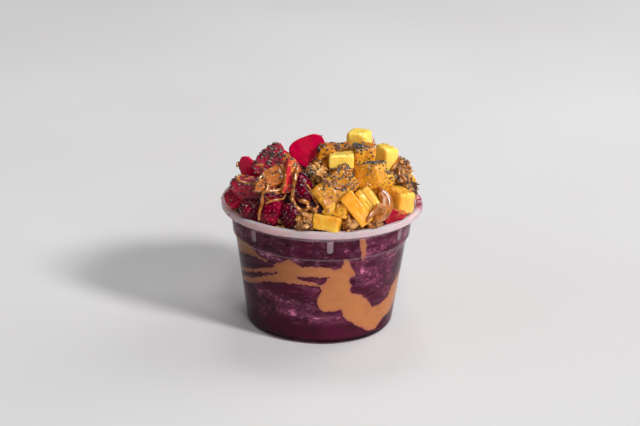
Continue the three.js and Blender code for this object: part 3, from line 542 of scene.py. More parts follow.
class PitayaBowlSizes(PropertyGroup):
    """Sizes that a user would change."""

    wall: length("Tub wall", "Thickness of the tub's wall", 0.0009)
    fill_into_wall: length("Fill into wall", "How far the filling reaches into the wall", 0.0001)
    smear_into_wall: length("Smear into wall", "How far the peanut butter reaches into the wall", 0.0002)
    smear_depth: length("Smear depth", "Thickness of the peanut butter on the wall", 0.0015)
    berry_voxel: length("Berry detail", "Size of the mesh cells of a strawberry", 0.00045)
    sauce_voxel: length("Drizzle detail", "Size of the mesh cells of the drizzle", 0.00034)
    seed_length: length("Chia length", "Length of a chia seed", 0.0014)
    flake_length: length("Oat length", "Length of an oat flake", 0.0052)
    crumb_radius: length("Crumb radius", "Radius of a granola crumb", 0.0013)
    flakes: tally("Oat flakes", "Oat flakes that are tried on the heap", 900)
    crumbs: tally("Crumbs", "Granola crumbs that are tried on the heap", 1500)


class PitayaBowlColours(PropertyGroup):
    """Colours that a user would change."""

    tub: colour("Tub", "Clear plastic", 240, 218, 226)
    rim: colour("Rim", "Milky plastic of the rim", 198, 175, 180)
    juice: colour("Juice", "Pitaya juice on the rim", 122, 28, 78)
    # The foot's colour is painted: the filling seen through the clear plastic and the light that its edge
    # catches
    foot: colour("Foot", "Clear foot, painted with the filling seen through it and a lit edge", 104, 48, 74)
    pitaya: colour("Pitaya", "Blended pitaya", 41, 5, 21)
    frost: colour("Frost", "Frosty patches of the pitaya", 198, 122, 156)
    peanut_butter: colour("Peanut butter", "Peanut butter on the wall", 154, 107, 62)
    mango: colour("Mango", "Pale mango flesh", 255, 214, 92)
    mango_ripe: colour("Ripe mango", "Orange mango flesh", 240, 156, 22)
    strawberry: colour("Strawberry", "Strawberry skin", 192, 0, 56)
    strawberry_dark: colour("Dark strawberry", "Thawed strawberry skin", 60, 0, 20)
    strawberry_flesh: colour("Strawberry flesh", "Pale inside of a strawberry", 232, 76, 60)
    dust: colour("Dust", "Frosty bloom on a strawberry", 162, 80, 96)
    # The achene colour is partly real and partly lightened to paint glints on the skin
    achene: colour("Achene", "Seeds on a strawberry's skin", 208, 114, 84)
    oat: colour("Oat", "Toasted oat flake", 222, 160, 84)
    toast: colour("Toast", "Dark toasted edge of the granola", 84, 38, 12)
    # Near black, with the dark pitaya as its second tone, to paint the shade in the gaps between the fruit
    crust_and_gap_shade: colour("Crust", "Granola deep in the heap", 44, 20, 8)
    sauce: colour("Drizzle", "Peanut butter drizzle", 184, 113, 45)
    sauce_deep: colour("Deep drizzle", "Thick peanut butter drizzle", 138, 74, 24)
    sauce_pale: colour("Pale drizzle", "Thin peanut butter drizzle", 214, 138, 60)
    amber: colour("Amber film", "Thin sauce on mango", 232, 164, 40)
    amber_deep: colour("Deep amber film", "Thick sauce on mango", 180, 100, 24)
    seed: colour("Chia", "Dark chia seed", 44, 38, 38)
    seed_pale: colour("Pale chia", "Pale chia seed", 158, 144, 130)
    floor: colour("Floor", "Studio floor", 210, 208, 208)


def smooth_line(points, steps, closed=False):
    """Points on a smooth curve through the given points."""
    knots = np.array(points, float)
    if closed:
        knots = np.vstack([knots[-1], knots, knots[:2]])
    else:
        knots = np.vstack([2 * knots[0] - knots[1], knots, 2 * knots[-1] - knots[-2]])
    share = np.linspace(0, 1, steps, endpoint=False)[:, None]
    runs = []
    for before, start, end, after in zip(knots, knots[1:], knots[2:], knots[3:]):
        bend = 2 * before - 5 * start + 4 * end - after
        twist = 3 * start - before - 3 * end + after
        runs.append(0.5 * (2 * start + (end - before) * share + bend * share**2 + twist * share**3))
    if not closed:
        runs.append(knots[-2:-1])
    return np.vstack(runs)


def smoothstep(low, high, value):
    """Goes smoothly from 0 to 1 while the value goes from low to high."""
    share = np.clip((np.asarray(value, float) - low) / (high - low), 0, 1)
    return share * share * (3 - 2 * share)


def ripple(points, size, seed=0.0):
    """Solid noise of about -1 to 1 at each point, with bumps of a size in metres."""
    shift = Vector((seed * 7.1, seed * 3.7, seed * 5.3))
    return np.array([noise.noise(Vector(point) / size + shift) for point in points])


def relief(points, bumps, seed=0.0):
    """Solid noise with the given height and size of its bumps."""
    height, size = bumps
    return height * ripple(points, size, seed)


def outward(round_degrees, up_degrees):
    """A direction out of the heap, from degrees round from the front and degrees up."""
    around, up = math.radians(round_degrees), math.radians(up_degrees)
    return Vector((math.cos(up) * math.sin(around), -math.cos(up) * math.cos(around), math.sin(up)))


def turned(turn):
    """Turns about Z, then Y, then X, in degrees."""
    x, y, z = (math.radians(angle) for angle in turn)
    return Matrix.Rotation(x, 4, "X") @ Matrix.Rotation(y, 4, "Y") @ Matrix.Rotation(z, 4, "Z")


def new_object(name, points, faces):
    """A smooth mesh object in the scene."""
    mesh = bpy.data.meshes.new(name)
    mesh.from_pydata([tuple(p) for p in points], [], [tuple(int(i) for i in f) for f in faces])
    mesh.shade_smooth()
    made = bpy.data.objects.new(name, mesh)
    bpy.context.scene.collection.objects.link(made)
    return made


def points_of(made):
    """The vertices of an object, one in each row."""
    flat = np.empty(len(made.data.vertices) * 3)
    made.data.vertices.foreach_get("co", flat)
    return flat.reshape(-1, 3)


def set_points(made, points):
    """Moves the vertices of an object."""
    made.data.vertices.foreach_set("co", np.asarray(points, float).ravel())
    made.data.update()


def normals_of(made):
    """The way out of the surface at each vertex."""
    flat = np.empty(len(made.data.vertices) * 3)
    made.data.vertex_normals.foreach_get("vector", flat)
    return flat.reshape(-1, 3)


def up_share(made, turn):
    """How far each vertex of a turned piece faces up, from -1 to 1."""
    return normals_of(made) @ np.array(turned(turn).to_3x3())[2]


def keep(made, **values):
    """Stores values of each vertex for the shaders."""
    for name, value in values.items():
        stored = made.data.attributes.new(name, "FLOAT", "POINT")
        spread = np.broadcast_to(value, len(made.data.vertices))
        stored.data.foreach_set("value", spread.astype(np.float32))


def finish_piece(made, material, slot, *nodes):
    """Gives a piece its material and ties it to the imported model."""
    if not len(made.data.polygons):
        raise RuntimeError(made.name + " has no faces")
    made.data.materials.append(material)
    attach(made, "root")
    if nodes:
        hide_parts(*nodes)


def remeshed(made, voxel, rounds):
    """Rebuilds an object's mesh from even cells and smooths it."""
    cells = made.modifiers.new("Cells", "REMESH")
    cells.mode = "VOXEL"
    cells.voxel_size = voxel
    soft = made.modifiers.new("Soft", "SMOOTH")
    soft.factor = 0.5
    soft.iterations = rounds
    graph = bpy.context.evaluated_depsgraph_get()
    rebuilt = bpy.data.meshes.new_from_object(made.evaluated_get(graph))
    rebuilt.name = made.name
    old = made.data
    made.modifiers.clear()
    made.data = rebuilt
    bpy.data.meshes.remove(old)
    rebuilt.shade_smooth()


def ring_faces(rows, columns):
    """Faces of a grid that closes round, with a single point before the first row and after the last."""
    faces = []
    for row in range(rows - 1):
        for column in range(columns):
            after = (column + 1) % columns
            low, high = 1 + row * columns, 1 + (row + 1) * columns
            faces.append((low + column, low + after, high + after, high + column))
    last = 1 + rows * columns
    top = 1 + (rows - 1) * columns
    for column in range(columns):
        after = (column + 1) % columns
        faces.append((0, 1 + after, 1 + column))
        faces.append((last, top + column, top + after))
    return faces


def lathe(profile, angles):
    """Points and faces of a body of revolution. The profile's first and last point lie on the axis."""
    points = [(0, 0, profile[0][1])]
    for radius, height in profile[1:-1]:
        points += [(radius * math.sin(a), -radius * math.cos(a), height) for a in angles]
    points.append((0, 0, profile[-1][1]))
    return np.array(points), ring_faces(len(profile) - 2, len(angles))


def corner(centre, radius, start, end, steps=5):
    """Points on a rounded corner, angles in degrees from outward to up."""
    turns = np.radians(np.linspace(start, end, steps))
    return [(centre[0] + radius * math.cos(a), centre[1] + radius * math.sin(a)) for a in turns]


def foot_curve(floor_radius, floor, wall_radius, wall_foot, steps=8):
    """A quarter of an ellipse from the floor up to the wall."""
    wide, high = wall_radius - floor_radius, wall_foot - floor
    turns = np.radians(np.linspace(0, 90, steps))
    return [(floor_radius + wide * math.sin(a), floor + high * (1 - math.cos(a))) for a in turns]


def inner_radius(height, wall):
    """Radius of the inside of the tub's wall."""
    rows = (BODY_FOOT, BODY_TOP, BAND_FOOT, BAND_TOP)
    return np.interp(height, [row[1] for row in rows], [row[0] for row in rows]) - wall


def fill_top(radius):
    """Height of the filling's domed surface."""
    return FILL_HEIGHT + FILL_RISE * (1 - (radius / CORE_RADIUS) ** 2)


def angles_of(points):
    """Degrees round from the front of each point."""
    return np.degrees(np.arctan2(points[:, 0], -points[:, 1]))


def lug_relief(angle, height):
    """How far the wall stands out for a stacking lug, at degrees round and metres up."""
    step = 360 / LUG_COUNT
    around = (angle - LUG_FIRST_ANGLE + step / 2) % step - step / 2
    across = abs(math.radians(around)) * BAND_FOOT[0]
    foot = LUG_MIDDLE - LUG_HALF_HEIGHT + LUG_HALF_WIDTH
    if height < foot:
        outside = math.hypot(across, height - foot) - LUG_HALF_WIDTH
    else:
        outside = max(across - LUG_HALF_WIDTH, height - LUG_MIDDLE - LUG_HALF_HEIGHT)
    return LUG_PROUD * float(smoothstep(LUG_SOFTNESS, -LUG_SOFTNESS, outside))


def patch_strength(angles, heights):
    """How frosty the pitaya is at degrees round and metres up."""
    bare = smoothstep(*BARE_FOOT, heights) * np.ones(np.broadcast(angles, heights).shape)
    total = BARE_FOOT_STRENGTH * bare
    for middle, height, half_span, half_height, strength in FROST_PATCHES:
        around = ((np.asarray(angles) - middle + 180) % 360 - 180) / half_span
        above = (np.asarray(heights) - height) / half_height
        total += strength * np.exp(-(around**2) - above**2)
    return total


def block_grid(steps):
    """A cube from -1 to 1 on each axis, its sides split into steps, with shared edges."""
    index, points, faces = {}, [], []
    line = np.linspace(-1, 1, steps + 1)

    def corner_of(place):
        key = tuple(round(value, 6) for value in place)
        if key not in index:
            index[key] = len(points)
            points.append(place)
        return index[key]

    for axis in range(3):
        for side in (-1, 1):
            for i in range(steps):
                for j in range(steps):
                    loop = []
                    for u, v in ((i, j), (i + 1, j), (i + 1, j + 1), (i, j + 1)):
                        place = [0.0, 0.0, 0.0]
                        place[axis] = float(side)
                        place[(axis + 1) % 3] = line[u]
                        place[(axis + 2) % 3] = line[v]
                        loop.append(corner_of(tuple(place)))
                    faces.append(loop if side > 0 else loop[::-1])
    return np.array(points), faces


def corner_wander(number):
    """How far each corner of a cube strays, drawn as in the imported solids."""
    state = number * WANDER_START[0] + WANDER_START[1]
    shifts = []
    for _ in range(24):
        state = (state * WANDER_STEP[0] + WANDER_STEP[1]) % 2**32
        shifts.append((state / 2**32 * 2 - 1) * CORNER_WANDER)
    return np.array(shifts).reshape(8, 3)


def ball_mesh(rounds):
    """Points and triangles of a ball with radius 1."""
    shape = bmesh.new()
    bmesh.ops.create_icosphere(shape, subdivisions=rounds, radius=1)
    points = np.array([vertex.co for vertex in shape.verts])
    faces = np.array([[vertex.index for vertex in face.verts] for face in shape.faces])
    shape.free()
    return points, faces


def flake_faces():
    """Triangles of an oat flake: a middle and three rings on top, a middle and two rings below."""
    faces = []
    around = [(i, (i + 1) % FLAKE_POINTS) for i in range(FLAKE_POINTS)]

    def fan(middle, ring, flip):
        for i, after in around:
            pair = (ring + i, ring + after)
            faces.append((middle, *pair[::-1]) if flip else (middle, *pair))

    def strip(inner, outer, flip):
        for i, after in around:
            a, b, c, d = inner + i, inner + after, outer + after, outer + i
            for triangle in ((a, d, c), (a, c, b)):
                faces.append(triangle[::-1] if flip else triangle)

    first, second, edge, below = (1 + FLAKE_POINTS * ring for ring in range(4))
    fan(0, first, False)
    strip(first, second, False)
    strip(second, edge, False)
    fan(below, below + first, True)
    strip(below + first, below + second, True)
    strip(below + second, edge, True)
    return np.array(faces)


def frame_on(normal, hint):
    """Axes of a thing laid on a surface: its third axis along the normal, its second near the hint."""
    third = Vector(normal).normalized()
    first = Vector(hint).cross(third)
    if first.length < 1e-6:
        first = Vector((1, 0, 0)).cross(third)
    first.normalize()
    second = third.cross(first)
    return Matrix((first, second, third)).transposed()


def windowed(values, reach, pick):
    """Picks one value for each place in a row from the values within reach of it."""
    padded = np.pad(values, reach, mode="edge")
    return np.array([pick(padded[i:i + 2 * reach + 1]) for i in range(len(values))])


class Gathered:
    """Small bodies gathered into one mesh, with a tone for each."""

    def __init__(self):
        self.points, self.faces, self.tones, self.count = [], [], [], 0

    def add(self, points, faces, tone=0.0):
        self.points.append(points)
        self.faces.append(faces + self.count)
        self.tones.append(np.full(len(points), tone))
        self.count += len(points)

    def joined(self):
        """Points, faces and tones, each in one array."""
        if not self.count:
            raise RuntimeError("nothing was gathered")
        return np.vstack(self.points), np.vstack(self.faces), np.concatenate(self.tones)


class Surface:
    """A search tree over the pieces whose names hold one of these words."""

    def __init__(self, *words):
        points, faces, self.owners = [], [], []
        for made in bpy.context.scene.objects:
            if made.type != "MESH" or not any(word in made.name for word in words):
                continue
            matrix = np.array(made.matrix_world)
            start = len(points)
            points.extend(map(tuple, points_of(made) @ matrix[:3, :3].T + matrix[:3, 3]))
            faces.extend([start + i for i in polygon.vertices] for polygon in made.data.polygons)
            self.owners.extend([made.name] * len(made.data.polygons))
        if not faces:
            raise RuntimeError("no piece is there yet to lie on: " + ", ".join(words))
        self.tree = BVHTree.FromPolygons(points, faces)

    def first_hit(self, direction):
        """Place, normal and piece of the first surface met on the way into the heap."""
        place, normal, face, _ = self.tree.ray_cast(HEAP_FOCUS + direction * CAST_DISTANCE, -direction)
        return place, normal, None if face is None else self.owners[face]

    def gap(self, place):
        """Distance from a place to the surface. Inside is negative."""
        near, normal, _, distance = self.tree.find_nearest(place)
        return distance if (place - near).dot(normal) > 0 else -distance


class Shade:
    """Short words for building a node tree."""

    def __init__(self, tree):
        self.tree = tree

    def node(self, kind, inputs=None, **settings):
        made = self.tree.nodes.new(kind)
        for name, value in settings.items():
            setattr(made, name, value)
        for name, value in (inputs or {}).items():
            self.feed(made.inputs[name], value)
        return made

    def feed(self, socket, value):
        """Links an output to a socket, or sets the socket to a plain value."""
        if isinstance(value, bpy.types.NodeSocket):
            self.tree.links.new(value, socket)
        elif socket.type == "RGBA":
            socket.default_value = (*value, 1)
        else:
            socket.default_value = value

    def fill(self, node, **inputs):
        """Feeds a node's sockets by name, with _ for a space."""
        for name, value in inputs.items():
            self.feed(node.inputs[name.replace("_", " ")], value)

    def world(self):
        """Places in the scene."""
        return self.node("ShaderNodeNewGeometry").outputs["Position"]

    def place(self, stretch=(1, 1, 1)):
        """Places in the piece's own frame, scaled along its axes."""
        where = self.node("ShaderNodeTexCoord").outputs["Object"]
        return self.node("ShaderNodeMapping", {"Vector": where, "Scale": stretch}).outputs[0]

    def noise(self, where, size, detail=3.0, rough=0.55, bend=0.0):
        """Clouds of a size in metres, about 0.3 to 0.7."""
        made = self.node(
            "ShaderNodeTexNoise",
            {"Vector": where, "Scale": 1 / size, "Detail": detail, "Roughness": rough, "Distortion": bend},
        )
        return made.outputs["Fac"]

    def stored(self, name):
        """A value that a piece keeps for each vertex."""
        return self.node("ShaderNodeAttribute", attribute_name=name).outputs["Fac"]

    def band(self, value, low, high, first=0.0, last=1.0):
        """Goes smoothly from first to last while the value goes from low to high."""
        made = self.node(
            "ShaderNodeMapRange",
            {"Value": value, "From Min": low, "From Max": high, "To Min": first, "To Max": last},
            interpolation_type="SMOOTHSTEP",
        )
        return made.outputs[0]

    def sum(self, first, second, operation="ADD"):
        return self.node("ShaderNodeMath", {0: first, 1: second}, operation=operation).outputs[0]

    def times(self, first, second):
        return self.sum(first, second, "MULTIPLY")

    def mix(self, share, first, second):
        """A colour between two colours."""
        return self.node("ShaderNodeMix", {0: share, 6: first, 7: second}, data_type="RGBA").outputs[2]

    def bump(self, height, strength, depth):
        made = self.node("ShaderNodeBump", {"Height": height, "Strength": strength, "Distance": depth})
        return made.outputs["Normal"]

    def group(self, tree, **inputs):
        made = self.node("ShaderNodeGroup", node_tree=tree)
        self.fill(made, **inputs)
        return made.outputs


def shared_group(name, colours, amount, values, build):
    """A node group, built once: colours and an amount go in, a colour and values come out."""
    tree = bpy.data.node_groups.get(name)
    if tree:
        return tree
    tree = bpy.data.node_groups.new(name, "ShaderNodeTree")
    for socket in colours:
        tree.interface.new_socket(socket, in_out="INPUT", socket_type="NodeSocketColor")
    tree.interface.new_socket(amount, in_out="INPUT", socket_type="NodeSocketFloat")
    tree.interface.new_socket("Color", in_out="OUTPUT", socket_type="NodeSocketColor")
    for socket in values:
        tree.interface.new_socket(socket, in_out="OUTPUT", socket_type="NodeSocketFloat")
    shade = Shade(tree)
    entry = shade.node("NodeGroupInput").outputs
    shade.fill(shade.node("NodeGroupOutput"), **build(shade, entry))
    return tree


def frosty_pitaya(shade, colours):
    """Blended pitaya: dark purple with frosty clouds and flecks where the piece keeps a patch."""
    group = shared_group("Frosty pitaya", ("Dark", "Frost"), "Patch", ("Roughness", "Height"), frosty_nodes)
    return shade.group(group, Dark=colours.pitaya, Frost=colours.frost, Patch=shade.stored("patch"))


def frosty_nodes(shade, entry):
    where = shade.place((1, 1, 1.8))
    cloud = shade.noise(where, 0.007, 5, 0.7, 0.4)
    fleck = shade.noise(where, 0.0021, 3, 0.65)
    wash = shade.noise(where, 0.016, 4, 0.6)
    torn = shade.sum(shade.times(cloud, 0.95), shade.times(fleck, 0.45))
    open_patch = shade.sum(shade.times(entry["Patch"], 0.22), torn)
    clouds = shade.band(open_patch, 0.86, 1.1)
    flecks = shade.times(shade.band(fleck, 0.6, 0.67), shade.band(open_patch, 0.76, 0.92, 0, 0.55))
    faint = shade.band(open_patch, 0.66, 0.95, 0, 0.14)
    frosty = shade.sum(shade.sum(clouds, faint, "MAXIMUM"), flecks, "MAXIMUM")
    base = shade.mix(shade.band(wash, 0.38, 0.62, 0, 0.8), entry["Dark"], PITAYA_WASH)
    return {
        "Color": shade.mix(frosty, base, entry["Frost"]),
        "Roughness": shade.band(cloud, 0.3, 0.7, 0.38, 0.6),
        "Height": torn,
    }


def sauce_film(shade, under, thin, thick):
    """A film of peanut butter sauce over a colour, torn at its edge, where the piece keeps a glaze."""
    group = shared_group("Sauce film", ("Under", "Thin", "Thick"), "Amount", ("Film", "Height"), film_nodes)
    return shade.group(group, Under=under, Thin=thin, Thick=thick, Amount=shade.stored("glaze"))


def film_nodes(shade, entry):
    where = shade.world()
    run = shade.noise(where, 0.0052, 3, 0.5, 0.8)
    fine = shade.noise(where, 0.0016, 2)
    level = shade.sum(shade.sum(run, shade.times(fine, 0.2)), entry["Amount"])
    film = shade.band(level, 0.98, 1.1)
    deep = shade.band(shade.sum(level, shade.times(fine, 0.5)), 1.3, 1.8)
    tone = shade.mix(deep, entry["Thin"], entry["Thick"])
    return {
        "Color": shade.mix(shade.times(film, 0.82), entry["Under"], tone),
        "Film": film,
        "Height": shade.sum(film, shade.times(deep, 0.6)),
    }


def toasted_oats(shade, pale, toast):
    """Toasted oats: pale flake, darker edges and specks, by the tone that the piece keeps."""
    group = shared_group("Toasted oats", ("Pale", "Toast"), "Tone", ("Roughness", "Height"), oat_nodes)
    return shade.group(group, Pale=pale, Toast=toast, Tone=shade.stored("tone"))


def oat_nodes(shade, entry):
    where = shade.world()
    patch = shade.noise(where, 0.0028, 4, 0.6)
    grain = shade.noise(where, 0.0006, 2, 0.6)
    level = shade.sum(shade.times(patch, 0.7), shade.times(entry["Tone"], 0.6))
    tone = shade.mix(shade.band(level, 0.35, 0.85), entry["Pale"], entry["Toast"])
    return {
        "Color": shade.mix(shade.band(grain, 0.35, 0.7, 0, 0.35), tone, entry["Toast"]),
        "Roughness": shade.band(patch, 0.3, 0.7, 0.28, 0.6),
        "Height": shade.sum(patch, shade.times(grain, 0.5)),
    }


def new_material(name):
    """A material, with its tree and its shader."""
    material = bpy.data.materials.new(name)
    material.use_nodes = True
    return material, Shade(material.node_tree), material.node_tree.nodes["Principled BSDF"]


def tub_material(name, tint, clear, satin, milk=0.0, juice=None):
    """Polypropylene, clear or milky, open to the lamps, with juice where the tub keeps a stain."""
    material, shade, plastic = new_material(name)
    where = shade.place()
    cloud = shade.noise(where, 0.02, 3)
    tone = shade.mix(shade.band(cloud, 0.3, 0.7, 0.15, 0), tint, PLASTIC_CLOUD)
    if juice is not None:
        patches = shade.band(shade.noise(where, 0.003, 3), 0.38, 0.56, 0.15, 1)
        tone = shade.mix(shade.times(shade.stored("stain"), patches), tone, juice)
    shade.fill(
        plastic,
        Base_Color=tone,
        Roughness=shade.band(cloud, 0.3, 0.7, satin, satin + 0.1),
        IOR=1.12,
        Transmission_Weight=clear,
        Subsurface_Weight=milk,
        Subsurface_Scale=0.02,
        Normal=shade.bump(shade.noise(where, 0.004, 2), 0.05, 0.0004),
    )
    through = shade.node("ShaderNodeBsdfTransparent", {"Color": LAMP_THROUGH_PLASTIC})
    lamp = shade.node("ShaderNodeLightPath").outputs["Is Shadow Ray"]
    joined = shade.node("ShaderNodeMixShader", {0: lamp, 1: plastic.outputs[0], 2: through.outputs[0]})
    shade.fill(material.node_tree.nodes["Material Output"], Surface=joined.outputs[0])
    return material


def pitaya_material(colours):
    """Blended pitaya, nearly dull."""
    material, shade, shader = new_material("Blended pitaya")
    look = frosty_pitaya(shade, colours)
    shade.fill(
        shader,
        Base_Color=look["Color"],
        Roughness=look["Roughness"],
        Specular_IOR_Level=0.12,
        Normal=shade.bump(look["Height"], 0.35, 0.0006),
    )
    return material


def smear_material(colours):
    """Peanut butter with an uneven edge against the pitaya round it."""
    material, shade, shader = new_material("Peanut butter smear")
    where = shade.place()
    pitaya = frosty_pitaya(shade, colours)
    ragged = shade.noise(where, 0.0026, 5, 0.7)
    edge = shade.sum(shade.stored("cover"), shade.band(ragged, 0.25, 0.75, -0.95, 0.95))
    cover = shade.band(edge, -0.18, 0.22)
    thin = shade.band(edge, 0.1, 2.2)
    swirl = shade.noise(shade.place((1, 1, 2.5)), 0.012, 4, 0.55, 1.2)
    grain = shade.noise(where, 0.0009, 2, 0.6)
    light = shade.mix(shade.band(swirl, 0.35, 0.68, 0, 0.55), colours.peanut_butter, BUTTER_SWIRL)
    body = shade.mix(shade.band(grain, 0.6, 0.74, 0, 0.35), light, BUTTER_GRAIN)
    butter = shade.mix(thin, BUTTER_EDGE, body)
    height = shade.sum(shade.times(cover, 0.6), shade.times(swirl, 0.5))
    shade.fill(
        shader,
        Base_Color=shade.mix(cover, pitaya["Color"], butter),
        Roughness=shade.band(swirl, 0.3, 0.7, 0.4, 0.58),
        Specular_IOR_Level=0.12,
        Normal=shade.bump(height, 0.3, 0.0005),
    )
    return material


def mango_material(colours):
    """Moist mango flesh with fine fibres, and sauce where it is glazed."""
    material, shade, shader = new_material("Mango flesh")
    where = shade.place()
    fibre = shade.noise(shade.place((1, 1, 0.14)), 0.0008, 3, 0.6, 0.3)
    cloud = shade.noise(where, 0.006, 3)
    ripe = shade.sum(shade.stored("orange"), shade.band(cloud, 0.3, 0.7, -0.18, 0.24))
    flesh = shade.mix(shade.band(ripe, 0.0, 1.0), colours.mango, colours.mango_ripe)
    flesh = shade.mix(shade.band(fibre, 0.5, 0.72, 0, 0.35), flesh, MANGO_FIBRE)
    flesh = shade.mix(shade.band(fibre, 0.46, 0.3, 0, 0.45), flesh, colours.mango_ripe)
    film = sauce_film(shade, flesh, colours.amber, colours.amber_deep)
    wet = shade.noise(where, 0.0044, 1)
    ripples = shade.times(film["Film"], wet)
    height = shade.sum(shade.sum(shade.times(fibre, 0.3), film["Height"]), shade.times(ripples, 2.4))
    shade.fill(
        shader,
        Base_Color=film["Color"],
        Roughness=shade.band(film["Film"], 0, 1, shade.band(wet, 0.3, 0.7, 0.16, 0.34), 0.07),
        Specular_IOR_Level=0.6,
        Normal=shade.bump(height, 0.9, 0.0005),
        Subsurface_Weight=0.5,
        Subsurface_Radius=(1.0, 0.55, 0.12),
        Subsurface_Scale=0.0022,
    )
    return material


def strawberry_material(colours):
    """Strawberry skin and cut flesh, with bloom and sauce, and painted shade on berries that lie low in the
    heap.
    """
    material, shade, shader = new_material("Strawberry")
    where = shade.place()
    mottle = shade.noise(where, 0.0042, 4, 0.6)
    # Darkness is thawed skin, and on berries 11 and 13 painted shade
    darkness = shade.sum(shade.stored("dark"), shade.band(mottle, 0.3, 0.7, -0.18, 0.24))
    skin = shade.mix(shade.band(darkness, 0.0, 1.0), colours.strawberry, colours.strawberry_dark)
    core = shade.stored("core")
    fan = shade.node("ShaderNodeCombineXYZ", {"X": shade.stored("fan"), "Y": core, "Z": 0.0})
    streak = shade.noise(fan.outputs[0], 0.16, 3, 0.6)
    inside = shade.sum(shade.band(core, 0.75, 0.1), shade.band(streak, 0.45, 0.62, 0, 0.75))
    paleness = shade.times(shade.stored("pale"), inside)
    pulp = shade.mix(shade.band(paleness, 0.05, 0.8), skin, colours.strawberry_flesh)
    bare = shade.mix(shade.stored("flesh"), skin, pulp)
    bloom = shade.times(shade.stored("dust"), shade.band(shade.noise(where, 0.0019, 4, 0.65), 0.38, 0.62))
    dusty = shade.mix(bloom, bare, colours.dust)
    film = sauce_film(shade, dusty, colours.sauce_pale, colours.sauce)
    wet = shade.noise(where, 0.0024, 1)
    moist = shade.band(wet, 0.3, 0.7, 0.05, 0.12)
    height = shade.sum(shade.sum(shade.times(mottle, 0.4), wet), shade.times(film["Height"], 1.2))
    shade.fill(
        shader,
        Base_Color=film["Color"],
        Roughness=shade.band(film["Film"], 0, 1, shade.sum(moist, shade.times(bloom, 0.3)), 0.1),
        Specular_IOR_Level=0.16,
        Normal=shade.bump(height, 0.6, 0.0005),
        Subsurface_Weight=0.1,
        Subsurface_Radius=(1.0, 0.25, 0.2),
        Subsurface_Scale=0.0018,
    )
    return material


def achene_material(colours):
    """Achenes from straw to red, their pale tone partly a painted glint."""
    material, shade, shader = new_material("Strawberry achenes")
    tone = shade.noise(shade.place(), 0.0012, 2)
    shade.fill(
        shader,
        Base_Color=shade.mix(shade.band(tone, 0.35, 0.65), colours.achene, ACHENE_RED),
        Roughness=shade.band(tone, 0.3, 0.7, 0.16, 0.32),
    )
    return material


def granola_material(colours, name, pale, toast, bump_depth, shine):
    """Toasted oats with some sauce on top."""
    material, shade, shader = new_material(name)
    oats = toasted_oats(shade, pale, toast)
    film = sauce_film(shade, oats["Color"], colours.sauce, colours.sauce_deep)
    height = shade.sum(oats["Height"], film["Height"])
    shade.fill(
        shader,
        Base_Color=film["Color"],
        Roughness=shade.band(film["Film"], 0, 1, oats["Roughness"], 0.12),
        Specular_IOR_Level=shine,
        Normal=shade.bump(height, 0.6, bump_depth),
    )
    return material


def sauce_material(colours):
    """Glossy peanut butter drizzle."""
    material, shade, shader = new_material("Peanut butter drizzle")
    where = shade.place()
    swirl = shade.noise(where, 0.004, 3, 0.5, 0.8)
    grain = shade.noise(where, 0.0008, 2)
    tone = shade.mix(shade.band(swirl, 0.35, 0.68), colours.sauce, colours.sauce_deep)
    shade.fill(
        shader,
        Base_Color=shade.mix(shade.band(grain, 0.62, 0.78, 0, 0.4), tone, DRIZZLE_GRAIN),
        Roughness=shade.band(swirl, 0.3, 0.7, 0.05, 0.12),
        Specular_IOR_Level=0.9,
        Normal=shade.bump(swirl, 0.15, 0.0004),
        Subsurface_Weight=0.15,
        Subsurface_Radius=(1.0, 0.5, 0.2),
        Subsurface_Scale=0.0012,
    )
    return material


def seed_material(colours):
    """Mottled chia seeds, from nearly black to pale grey."""
    material, shade, shader = new_material("Chia seeds")
    spots = shade.noise(shade.place(), 0.0006, 3, 0.7)
    tone = shade.sum(shade.stored("tone"), shade.band(spots, 0.3, 0.7, -0.25, 0.3))
    shade.fill(
        shader,
        Base_Color=shade.mix(shade.band(tone, 0.4, 1.15), colours.seed, colours.seed_pale),
        Roughness=shade.band(spots, 0.3, 0.7, 0.22, 0.4),
    )
    return material


def floor_material(colours):
    """Pale, dull studio paper."""
    material, shade, shader = new_material("Studio floor")
    cloud = shade.noise(shade.place(), 0.4, 2)
    shade.fill(
        shader,
        Base_Color=shade.mix(shade.band(cloud, 0.3, 0.7, 0, 0.3), colours.floor, FLOOR_CLOUD),
        Roughness=shade.band(cloud, 0.3, 0.7, 0.62, 0.72),
    )
    return material


